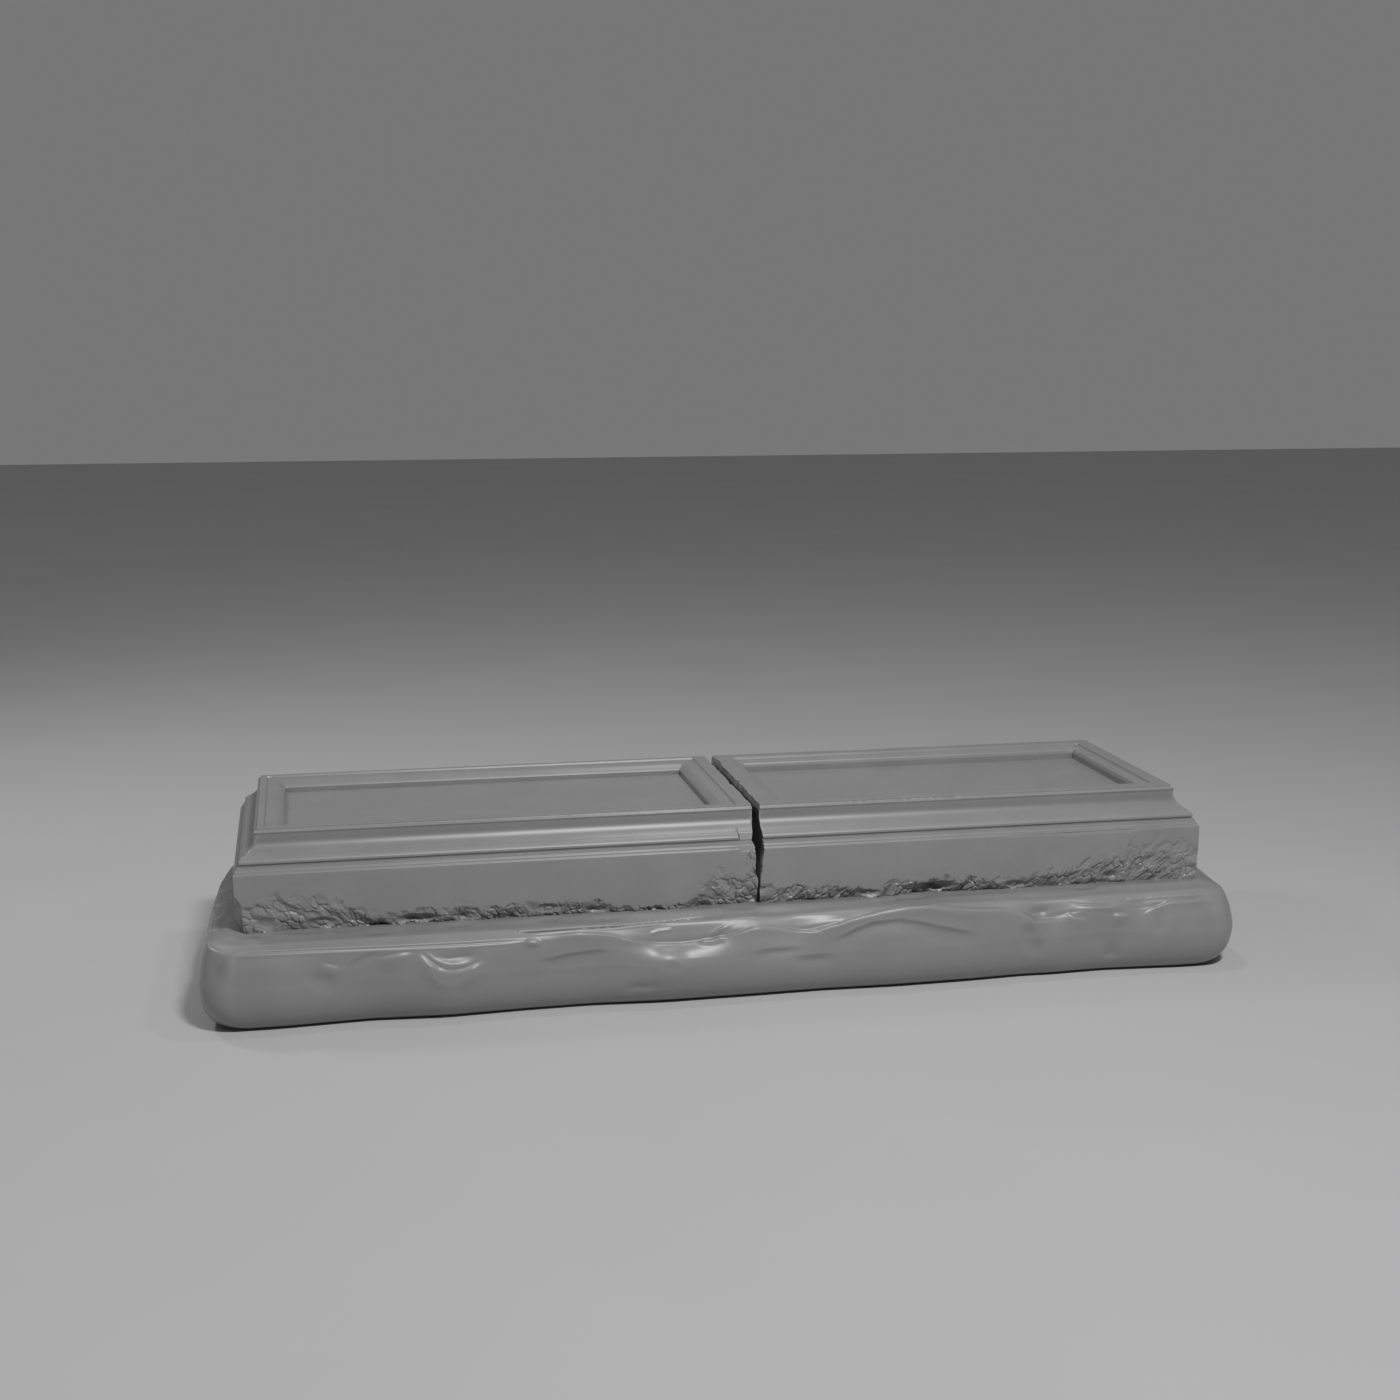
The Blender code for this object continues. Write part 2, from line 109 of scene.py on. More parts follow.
def selectFaces(piece, wanted):
    bpy.ops.mesh.select_mode(type="FACE")
    bpy.ops.mesh.select_all(action="DESELECT")
    mesh = bmesh.from_edit_mesh(piece.data)
    for face in mesh.faces:
        if wanted(face.calc_center_median(), face.normal):
            face.select_set(True)
    bmesh.update_edit_mesh(piece.data)


def softenSection(points, radius, longest):
    # each corner becomes a short arc, and long straights are divided
    points = [Vector(point) for point in points]
    soft = [points[0]]
    for before, corner, after in zip(points, points[1:], points[2:]):
        back, ahead = before - corner, after - corner
        if math.pi - back.angle(ahead) < 0.35:
            soft.append(corner)
            continue
        reach = min(radius, 0.4 * back.length, 0.4 * ahead.length)
        start = corner + back.normalized() * reach
        end = corner + ahead.normalized() * reach
        soft += [start, (start + end) / 4 + corner / 2, end]
    soft.append(points[-1])
    divided = [soft[0]]
    for start, end in zip(soft, soft[1:]):
        parts = max(1, math.ceil((end - start).length / longest))
        divided += [start.lerp(end, part / parts) for part in range(1, parts + 1)]
    return divided


def growShell(name, sides, cornerRound, cornerSteps, cuts, section):
    # A plane of the foot's size loses its face and its edge loop is extruded up the section.
    # sides are the plan's low and high corners; a section point is (inset, inset of the high
    # x side, up); cuts give how the front, back and end edges are divided, in two passes.
    (lowX, lowY), (highX, highY) = sides
    inset, farInset, up = section[0]
    middle = Vector(((lowX + inset + highX - farInset) / 2, (lowY + highY) / 2, up))
    bpy.ops.object.select_all(action="DESELECT")
    bpy.ops.mesh.primitive_plane_add(size=1, location=middle)
    piece = bpy.context.object
    piece.name = name
    bpy.ops.object.transform_apply(location=True, rotation=True, scale=True)
    bpy.ops.object.mode_set(mode="EDIT")
    bpy.ops.mesh.select_all(action="SELECT")
    nowX = [lowX + inset, highX - farInset]
    nowY = [lowY + inset, highY - inset]
    bpy.ops.transform.resize(value=(nowX[1] - nowX[0], nowY[1] - nowY[0], 1), center_override=middle)
    bpy.ops.mesh.bevel(offset=cornerRound, segments=cornerSteps, affect="VERTICES")
    bpy.ops.mesh.delete(type="ONLY_FACE")
    middleY = middle.y
    for turn in (0, 1):
        for side, sideCuts in cuts.items():
            def onSide(a, b):
                if abs(a.y - b.y) < 1e-6:
                    return side == ("front" if a.y < middleY else "back")
                return side == "ends" and abs(a.x - b.x) < 1e-6
            selectEdges(piece, onSide)
            bpy.ops.mesh.subdivide(number_cuts=sideCuts[turn])
    bpy.ops.mesh.select_all(action="SELECT")
    for inset, farInset, newUp in section[1:]:
        newX = [lowX + inset, highX - farInset]
        newY = [lowY + inset, highY - inset]
        move = (newX[1] - nowX[1], 0, newUp - up)
        bpy.ops.mesh.extrude_edges_move(TRANSFORM_OT_translate={"value": move})
        scale = ((newX[1] - newX[0]) / (nowX[1] - nowX[0]), (newY[1] - newY[0]) / (nowY[1] - nowY[0]), 1)
        if abs(scale[0] - 1) + abs(scale[1] - 1) > 1e-9:
            bpy.ops.transform.resize(value=scale, center_override=(newX[1], middleY, newUp))
        nowX, nowY, up = newX, newY, newUp
    bpy.ops.mesh.edge_face_add()
    foot = section[0][2]
    selectEdges(piece, lambda a, b: abs(a.z - foot) < 1e-6 and abs(b.z - foot) < 1e-6)
    bpy.ops.mesh.edge_face_add()
    bpy.ops.mesh.select_all(action="SELECT")
    bpy.ops.mesh.normals_make_consistent(inside=False)
    bpy.ops.object.mode_set(mode="OBJECT")
    return piece


def refine(piece, wanted, cuts):
    pickOnly(piece)
    bpy.ops.object.mode_set(mode="EDIT")
    selectFaces(piece, wanted)
    bpy.ops.mesh.subdivide(number_cuts=cuts, ngon=False)
    bpy.ops.object.mode_set(mode="OBJECT")


def markHollows(piece, passes):
    # how hollow (above 0) or proud (below 0) the surface is, in millimetres over its neighbours
    points = readPoints(piece)
    ends = np.empty(len(piece.data.edges) * 2, dtype=np.int64)
    piece.data.edges.foreach_get("vertices", ends)
    ends = ends.reshape(-1, 2)
    normals = readPoints(piece, "normal")
    count = np.bincount(ends.ravel(), minlength=len(points)).clip(1)

    def spread(values):
        total = np.zeros_like(values)
        np.add.at(total, ends[:, 0], values[ends[:, 1]])
        np.add.at(total, ends[:, 1], values[ends[:, 0]])
        return total / (count if values.ndim == 1 else count[:, None])

    smooth = points
    for _ in range(passes):
        smooth = spread(smooth)
    hollow = ((smooth - points) * normals).sum(axis=1) * 1000
    storeValue(piece, "hollow", spread(hollow))


# Ledger stones
moulding = {
    "width": 1.000,
    "blockHeight": 0.205,
    "out": 0.083,              # how far the block stands outside the top flat
    "height": 0.3455,
    "coveSteps": 6,
    "arrisRound": 0.0016,      # every cut edge is a little rubbed
    "longestStep": 0.0130,
    "wallStep": 0.0103,
    "cornerRound": 0.003,
    "cornerSteps": 2,
    "cuts": {"front": (12, 13), "back": (12, 6), "ends": (8, 8)},
    "waver": 0.0005,
    "sharpAngle": 38,
}
# Broken band along each block's foot: heights and depths before the larger breaks are added
breaking = {
    "height": 0.045,
    "depth": 0.022,
    "plainShare": 0.7,         # how deep the ends and the back are broken, against the front
    "cornerReach": 0.20,
    "lump": 0.036,
    "lumpRelief": 0.0072,
    "plate": 0.028,
    "seamDepth": 0.0036,
    "crumb": 0.0150,
    "crumbDepth": 0.0022,
    "grain": 0.0085,
    "grainRelief": 0.0007,
    "crackDepth": 0.0020,
    "raggedEdge": 0.0018,      # the least depth, just inside the break's edge
    "reachIn": 0.10,           # how far in from a wall its points may be pushed
    "jointZone": 0.036,
    "jointShare": 0.16,        # how deep the foot is broken at the joint, against the other sides
    "knockedReach": 0.30,
}
leftStone = {
    "name": "ledgerLeftStone",
    "node": "ledger_left",
    "length": 1.818,
    "phase": 0.4,
    # rim, step, flat band, bead, ogee and fillet, as (in from the top flat's edge, down)
    "panelEdge": [(0.0225, 0), (0.025, 0.0065), (0.065, 0.008), (0.070, 0.011), (0.0768, 0.0166),
                  (0.0837, 0.0239), (0.0905, 0.032), (0.0905, 0.051)],
    "jointPanelInset": 0.0375,
    # (centre, half length, more height, more depth) along the front
    "breaks": [(0.20, 0.30, 0.085, 0.004), (1.72, 0.17, 0.085, 0.014), (1.80, 0.062, 0.100, 0.004)],
    "clean": (1.425, 0.165),          # centre and half length of the least broken stretch
    "cornerShare": 0.35,
    "knockedFoot": (0.062, 0.030),    # height and depth
    # (along, up, half length, half height, depth) of the deeper pockets
    "pockets": [(0.10, 0.030, 0.05, 0.030, 0.004), (0.29, 0.022, 0.07, 0.026, 0.007),
                (0.61, 0.020, 0.08, 0.022, 0.010), (0.78, 0.018, 0.05, 0.020, 0.005),
                (1.06, 0.030, 0.05, 0.022, 0.004), (1.235, 0.014, 0.05, 0.018, 0.007)],
    # how far the joint end is broken back at each height
    "jointLine": [(0.0, 0.000), (0.085, 0.001), (0.12, 0.008), (0.153, 0.012), (0.208, 0.013),
                  (0.230, 0.024), (0.245, 0.021), (0.292, 0.010), (0.3455, 0.010)],
    "jointNotches": [(0.43, 0.035, 0.006), (0.78, 0.05, 0.004)],     # (across, half length, depth)
    # the front corner of the outer end, bruised: (up, cut)
    "cornerCut": [(0.0, 0.040), (0.06, 0.031), (0.10, 0.025), (0.122, 0.012), (0.135, 0.0)],
    # (along, half length, depth)
    "rimChips": [(0.62, 0.03, 0.0012), (1.12, 0.05, 0.0015), (1.43, 0.02, 0.0012)],
    "backRimChips": [(0.55, 0.05, 0.0015), (1.20, 0.04, 0.0020)],
    "arrisWear": [],
    "patchStart": 1.748,
    # (bottom, top, depth at the bottom, more depth at the top)
    "patches": [(0.2320, 0.2680, 0.0225, 0.0140), (0.1960, 0.2285, 0.0030, 0.0110)],
    "patchCrack": (0.226, 0.276, 0.0026, 0.0045),    # bottom, top, half width and depth
}
rightStone = {
    "name": "ledgerRightStone",
    "node": "ledger_right",
    "length": 1.671,
    "phase": 2.6,
    # rim, step, sloped band, cove and fillet
    "panelEdge": [(0.0525, 0), (0.055, 0.008), (0.084, 0.0176), (0.0868, 0.0215), (0.0905, 0.0326),
                  (0.0905, 0.055)],
    "jointPanelInset": 0.026,
    "breaks": [(0.10, 0.32, 0.095, 0.010), (0.36, 0.34, 0.050, 0.010), (1.02, 0.20, 0.012, 0.022),
               (1.655, 0.060, 0.040, 0.002)],
    "clean": (1.25, 0.06),
    "cornerShare": 0.45,
    "knockedFoot": (0.030, 0.012),
    "pockets": [(0.34, 0.030, 0.05, 0.024, 0.004), (0.71, 0.018, 0.05, 0.020, 0.006),
                (1.015, 0.026, 0.080, 0.026, 0.009), (1.27, 0.018, 0.05, 0.018, 0.006)],
    "jointLine": [(0.0, 0.000), (0.10, 0.002), (0.151, 0.007), (0.181, 0.010), (0.205, 0.015),
                  (0.237, 0.017), (0.291, 0.009), (0.326, 0.011), (0.3455, 0.016)],
    "jointNotches": [(0.457, 0.03, 0.010), (0.80, 0.06, 0.004)],
    "cornerCut": [(0.0, 0.022), (0.03, 0.010), (0.08, 0.006), (0.19, 0.0)],
    "rimChips": [(1.277, 0.10, 0.0020), (1.116, 0.05, 0.0035), (1.02, 0.09, 0.0030), (0.935, 0.03, 0.0050),
                 (0.52, 0.05, 0.0014)],
    "backRimChips": [(1.04, 0.13, 0.0045), (0.72, 0.05, 0.0020)],
    "arrisWear": [(0.47, 0.34, 0.0045)],
    "patches": [],
    "gap": 0.003,              # from the left stone's foot
    "turn": -0.35,             # degrees out of line with the left stone
}
stonesLength = leftStone["length"] + rightStone["gap"] + rightStone["length"]


def ledgerSection(stone):
    # (inset, inset at the joint end, up) from the foot to the panel's floor
    out, height, block = moulding["out"], moulding["height"], moulding["blockHeight"]
    wallRows = round(block / moulding["wallStep"])
    wall = [(0, 0, block * row / wallRows) for row in range(wallRows)]
    points = [(0.0, 0.0), (0.0, 0.006), (0.011, 0.0125), (0.007, 0.0205)]
    for step in range(1, moulding["coveSteps"] + 1):
        share = step / moulding["coveSteps"]
        points.append((0.007 + 0.038 * share ** 2.6, 0.0205 + 0.064 * share))
    # a worn slope out to the quirk, then two small fasciae
    points += [(0.0475, 0.0852), (0.0565, 0.0925), (0.0640, 0.1010), (0.0640, 0.1085), (0.059, 0.1125),
               (0.059, 0.1175), (0.0700, 0.1185), (0.0712, 0.1275), (0.0765, 0.1300), (0.0782, 0.1388),
               (0.083, 0.1410)]
    members = [(out - outward, 0, height - down) for outward, down in reversed(points)]
    members = [(0, 0, block - 0.010)] + members
    for inward, down in stone["panelEdge"]:
        members.append((out + inward, stone["jointPanelInset"] + inward, height - down))
    inward, joint, floor = members[-1]
    members.append((inward + 0.012, joint + 0.012, floor))
    soft = softenSection(members, moulding["arrisRound"], moulding["longestStep"])
    return [Vector(point) for point in wall if point[2] < block - 0.011] + soft


def brokenRelief(points, phase):
    # broken stone: lumps that meet in dark creases, crumbs on them and a coarse grain; the
    # creases run down to the inner side, and run out as cracks above the break
    relief = np.empty(len(points))
    cracks = np.empty(len(points))
    plate, crumb = breaking["plate"], breaking["crumb"]
    for number, (along, across, up) in enumerate(points):
        place = Vector((along + 0.55 * up, across + phase, 0.75 * up - 0.10 * along))
        place += 0.009 * noise.noise_vector(place / 0.035)
        lump = noise.noise(place / breaking["lump"])
        near = noise.voronoi(place / plate)[0]
        seam = max(0, 1 - (near[1] - near[0]) / 0.20)
        seam = seam * min(1, 0.75 + noise.noise(place / 0.05 + Vector((3, 7, 1))))
        fine = noise.voronoi(place / crumb)[0]
        creases = max(0, 1 - (fine[1] - fine[0]) / 0.28)
        relief[number] = (breaking["lumpRelief"] * lump + breaking["seamDepth"] * seam
                          + breaking["crumbDepth"] * creases * (0.5 - lump)
                          + breaking["grainRelief"] * noise.noise(place / breaking["grain"]))
        cracks[number] = seam * max(0, 0.35 + noise.noise(place / 0.06))
    return relief, cracks


def breakSize(stone, along):
    # how far up the front the stone is broken at a place, and how deep
    phase = stone["phase"]
    centre, half = stone["clean"]
    clean = 1 - 0.74 * ease((half - np.abs(along - centre)) / 0.05)
    height = breaking["height"] * clean * (0.95 + 0.22 * ripple(along, phase, 0.31))
    depth = breaking["depth"] * clean * (0.85 + 0.30 * ripple(along, phase + 1.4, 0.23))
    for centre, half, moreHeight, moreDepth in stone["breaks"]:
        share = hump((along - centre) / half)
        height = height + moreHeight * share * (0.90 + 0.25 * ripple(along, phase + 2.2, 0.17))
        depth = depth + moreDepth * share
    depth = depth * (1 - (1 - stone["cornerShare"]) * hump(along / breaking["cornerReach"]))
    return np.minimum(height, moulding["blockHeight"] * 0.92), depth


def brokenDepth(height, depth, up, relief, cracks):
    # 0 on the sound face, ragged at its edge, and deepest at the foot
    share = 1 - up / height + 1.6 * relief / height
    inside = depth * (0.22 * ease(share / 0.5) + 0.68 * np.abs(share) ** 2.4)
    base = breaking["raggedEdge"] + np.where(share > 0, inside, 0.016 * share)
    crack = breaking["crackDepth"] * cracks * ease((share + 0.75) / 0.5)
    return np.maximum(0, np.maximum(base + relief * ease((share + 0.4) / 0.6), crack))


def wearStone(piece, stone):
    points = readPoints(piece)
    along, across, up = points.T.copy()
    length, width, phase = stone["length"], moulding["width"], stone["phase"]
    broken = np.zeros(len(points))

    # the mouldings are hand-cut: never quite straight
    aboveBlock = up > moulding["blockHeight"] + 0.001
    waver = moulding["waver"] * ripple(along + 0.7 * across, phase, 0.61) * ease((up - 0.205) / 0.02)
    across = across + waver * np.where(across < width / 2, 1, -1) * aboveBlock

    # the joint end is broken back, so that a rough gap stands between the stones
    heights, insets = zip(*stone["jointLine"])
    inset = np.interp(up, heights, insets)
    inset = inset * (1 + 0.16 * ripple(across + 0.3 * up, phase, 0.24))
    for centre, half, deep in stone["jointNotches"]:
        inset = inset + deep * hump((across - centre) / half) * ease((up - 0.18) / 0.1)
    zone = breaking["jointZone"]
    atJoint = along > length - zone
    rough = np.zeros(len(points))
    rough[atJoint] = brokenRelief(points[atJoint], phase + 3)[0]
    inset = np.maximum(0.0003, inset + rough * (0.35 + 0.55 * (up < 0.205)) * ease(inset / 0.008))
    share = np.clip((along - (length - zone)) / zone, 0, 1)
    along = along - inset * share
    broken = np.where(atJoint, np.maximum(broken, ease((share - 0.8) / 0.15) * ease(inset / 0.004)), broken)

    # broken band round the foot: each wall is pushed in where it would stand proud of the break
    low = up < moulding["blockHeight"] * 0.97
    walls = (
        ("front", points[:, 0], across, 1, 0.0),
        ("back", points[:, 0], width - across, -1, 1.7),
        ("outer", points[:, 1], along, 1, 2.9),
        ("joint", points[:, 1], length - along, -1, 4.1),
    )
    for side, run, inside, sign, extra in walls:
        where = np.flatnonzero(low & (inside < breaking["reachIn"]))
        relief, cracks = brokenRelief(points[where], phase + extra)
        runHere, upHere = run[where], up[where]
        frontHeight, frontDepth = breakSize(stone, points[where, 0])
        if side == "front":
            height, depth = frontHeight, frontDepth
            for centreAlong, centreUp, halfLength, halfHeight, deep in stone["pockets"]:
                away = np.hypot((runHere - centreAlong) / halfLength, (upHere - centreUp) / halfHeight)
                away = away + 55 * relief
                relief = relief + deep * ease(1.6 * (1 - away))
                height = np.maximum(height, (centreUp + halfHeight) * ease(2.5 * (1.1 - away)))
        else:
            atFront = hump(points[where, 1] / breaking["cornerReach"])
            plain = 0.75 + 0.30 * ripple(runHere, phase + extra, 0.37)
            height = breaking["height"] * plain * (1 - atFront) + frontHeight * atFront
            plainDepth = breaking["depth"] * breaking["plainShare"] * plain
            depth = plainDepth * (1 - atFront) + frontDepth * atFront
            if side == "outer":
                # the foot of the outer end is knocked off by the front corner
                knocked = hump(points[where, 1] / breaking["knockedReach"])
                height = height * (1 - knocked) + stone["knockedFoot"][0] * knocked
                depth = depth * (1 - knocked) + stone["knockedFoot"][1] * knocked
        wanted = brokenDepth(height, depth, upHere, relief, cracks)
        if side == "joint":
            wanted = wanted * breaking["jointShare"]
        push = np.maximum(0, wanted - inside[where])
        broken[where] = np.maximum(broken[where], ease(push / 0.0030) * (upHere < 0.19))
        if side in ("front", "back"):
            across[where] = across[where] + sign * push
        else:
            along[where] = along[where] + sign * push

    # the block's upper arris is worn down to a narrow slope, along part of the front
    atArris = (up > 0.18) & (up < 0.2056) & (across < 0.02)
    for centre, half, deep in stone["arrisWear"]:
        edge = 0.1915 + 0.0030 * ripple(along, 0.7, 0.19)
        edge = edge + 0.014 * (1 - hump((along - centre) / half) ** 0.25)
        across = np.where(atArris, np.maximum(across, deep * (up - edge) / 0.0135), across)

    # the front corner of the outer end is bruised off on the slant
    heights, cuts = zip(*stone["cornerCut"])
    cut = np.interp(up, heights, cuts)
    missing = np.maximum(0, cut - (along + across)) * (up < heights[-1])
    along = along + missing / 2
    across = across + missing / 2
    broken = np.maximum(broken, 0.6 * ease(missing / 0.004))

    # chips out of the rim
    rimUp = ease((up - (moulding["height"] - 0.016)) / 0.012)
    rims = ((stone["rimChips"], points[:, 1], 1), (stone["backRimChips"], width - points[:, 1], -1))
    for chips, inside, sign in rims:
        onRim = rimUp * ease((0.093 - inside) / 0.008)
        for centre, half, deep in chips:
            ragged = 0.75 + 0.6 * ripple(points[:, 0], phase + centre * 9, 0.035)
            loss = deep * np.maximum(0, ragged) * hump((points[:, 0] - centre) / half) ** 0.6 * onRim
            across = across + sign * loss
            up = up - loss * 0.55

    # dressed-back patches on the lower members, with a fine crack beside them
    atFront = points[:, 1] < 0.2
    for bottom, top, deep, more in stone["patches"]:
        onPatch = atFront & (points[:, 2] > bottom) & (points[:, 2] < top)
        onPatch = onPatch & (points[:, 0] > stone["patchStart"])
        plane = deep + more * (points[:, 2] - bottom) / (top - bottom)
        across = np.where(onPatch, np.maximum(across, plane), across)
    if stone["patches"]:
        bottom, top, halfWidth, deep = stone["patchCrack"]
        beside = np.abs(points[:, 0] - stone["patchStart"] - 0.15 * (0.250 - points[:, 2]))
        crack = np.clip(1 - beside / halfWidth, 0, 1) * atFront
        crack = crack * ease((up - bottom) / 0.005) * ease((top - up) / 0.010)
        across = across + deep * crack
    writePoints(piece, np.stack([along, across, up], axis=1))
    storeValue(piece, "broken", broken)


def carveLedger(stone):
    length, width = stone["length"], moulding["width"]
    piece = growShell(stone["name"], ((0, 0), (length, width)), moulding["cornerRound"],
                      moulding["cornerSteps"], moulding["cuts"], ledgerSection(stone))
    # finer where it is broken: the front's wall, then the foot on the other sides
    refine(piece, lambda place, normal: place.y < 0.004 and place.z < 0.170, 2)
    refine(piece, lambda place, normal: place.z < 0.075 and normal.z > -0.5 and place.y > 0.01, 1)
    if stone["patches"]:
        refine(piece, lambda place, normal: (place.x > 1.72 and place.y < 0.06
                                             and 0.165 < place.z < 0.285), 3)
    if stone["arrisWear"]:
        refine(piece, lambda place, normal: (0.1 < place.x < 0.86 and place.y < 0.004
                                             and 0.174 < place.z < 0.206), 2)
    wearStone(piece, stone)
    return piece


def layStone(piece, stone, place, turn, mirrored):
    # onto the slab's seat; the right stone is mirrored, since its outer end is on the right
    pickOnly(piece)
    piece.scale.x = -1 if mirrored else 1
    piece.rotation_euler.z = turn
    piece.location = place
    bpy.ops.object.transform_apply(location=True, rotation=True, scale=True)
    bpy.ops.object.mode_set(mode="EDIT")
    bpy.ops.mesh.select_all(action="SELECT")
    bpy.ops.mesh.normals_make_consistent(inside=False)
    bpy.ops.object.mode_set(mode="OBJECT")
    bpy.ops.object.shade_smooth_by_angle(angle=math.radians(moulding["sharpAngle"]))
    markHollows(piece, 3)
    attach(piece, "root")
    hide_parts(stone["node"])
    print(stone["name"], "carved,", len(piece.data.vertices), "points")


leftPiece = carveLedger(leftStone)
layStone(leftPiece, leftStone, (stonesLeft, stonesFront, seatUp), 0, False)
rightPiece = carveLedger(rightStone)
turned = math.radians(rightStone["turn"])
jointX = stonesLeft + leftStone["length"] + rightStone["gap"]
layStone(rightPiece, rightStone,
         (jointX + rightStone["length"] * math.cos(turned),
          stonesFront + rightStone["length"] * math.sin(turned), seatUp), turned, True)


# Base slab
slab = {
    "name": "baseSlabStone",
    "height": 0.305,
    "front": 0.165,
    "back": 0.115,
    "left": 0.135,
    "right": 0.134,
    "leftTaper": 0.050,
    "cornerRound": 0.110,
    "cornerSteps": 12,
    "cuts": {"front": (24, 27), "back": (12, 9), "ends": (9, 8)},
    "lump": 0.010,
    "ripple": 0.006,
    "footRound": 0.150,
    "edgeUp": 0.283,
    # the worn front edge: (place from the stones' left end, height)
    "edge": [(-0.14, 0.280), (0.21, 0.278), (0.54, 0.272), (0.96, 0.265), (1.16, 0.272), (1.31, 0.246),
             (1.42, 0.224), (1.52, 0.218), (1.62, 0.226), (1.78, 0.259), (1.93, 0.232), (2.12, 0.268),
             (2.32, 0.297), (2.41, 0.299), (2.53, 0.268), (2.75, 0.253), (2.82, 0.222), (2.88, 0.225),
             (3.02, 0.254), (3.14, 0.255), (3.21, 0.240), (3.34, 0.260), (3.64, 0.262)],
    # how far the front face is drawn in behind its bulges
    "face": [(-0.14, 0.004), (0.15, 0.000), (0.45, 0.028), (0.70, 0.000), (0.98, 0.024), (1.20, 0.030),
             (1.45, 0.002), (1.78, 0.008), (2.03, 0.018), (2.29, 0.004), (2.55, 0.010), (2.80, 0.030),
             (2.89, 0.022), (3.09, 0.036), (3.40, 0.002), (3.64, 0.006)],
}
# The slab's section: (inset, up, share of the face's bulges, share of the edge's wear,
# share of the ripple, longest step to the next row)
slabSection = [
    (0.0900, 0.0000, 0.60, 0.00, 0.0, 0.0120),
    (0.0556, 0.0114, 0.70, 0.00, 0.0, 0.0120),
    (0.0264, 0.0439, 0.80, 0.00, 0.0, 0.0120),
    (0.0069, 0.0926, 0.90, 0.00, 0.0, 0.0120),
    (0.0000, 0.1500, 1.00, 0.00, 0.0, 0.0085),
    (0.0040, 0.1900, 0.80, 0.05, 0.0, 0.0075),
    (0.0114, 0.2300, 0.50, 0.18, 0.0, 0.0055),
    (0.0226, 0.2640, 0.15, 0.30, 1.0, 0.0036),
    (0.0310, 0.2830, 0.00, 0.35, 1.0, 0.0032),
    (0.0450, 0.2912, 0.00, 0.25, 1.0, 0.0050),
    (0.0680, 0.2990, 0.00, 0.10, 1.0, 0.0068),
    (0.1750, 0.3050, 0.00, 0.00, 0.0, 0.0100),
]


def slabRings():
    # the section's rows; a smooth curve runs through its points, level by level
    rows = [np.array(slabSection[0][:5])]
    last = len(slabSection) - 1
    for number in range(last):
        before, start, end, after = (np.array(slabSection[min(last, max(0, number + step))][:5])
                                     for step in (-1, 0, 1, 2))
        span = math.dist(start[:2], end[:2])
        parts = math.ceil(span / slabSection[number][5])
        into = (end - before) / math.dist(end[:2], before[:2]) * span
        out = (after - start) / math.dist(after[:2], start[:2]) * span
        for part in range(1, parts + 1):
            t = part / parts
            row = start + (end - start) * t
            if number < last - 1:
                row[:2] = ((2 * t ** 3 - 3 * t ** 2 + 1) * start + (t ** 3 - 2 * t ** 2 + t) * into
                           + (3 * t ** 2 - 2 * t ** 3) * end + (t ** 3 - t ** 2) * out)[:2]
            rows.append(row)
    return rows


def alongTable(table, places, blur):
    # a value between a table's entries, with its corners blurred
    at, values = zip(*table)
    total = np.zeros(len(places))
    weights = 0
    for step in np.linspace(-0.9, 0.9, 9):
        weight = float(hump(step))
        total = total + weight * np.interp(places + step * blur, at, values)
        weights += weight
    return total / weights


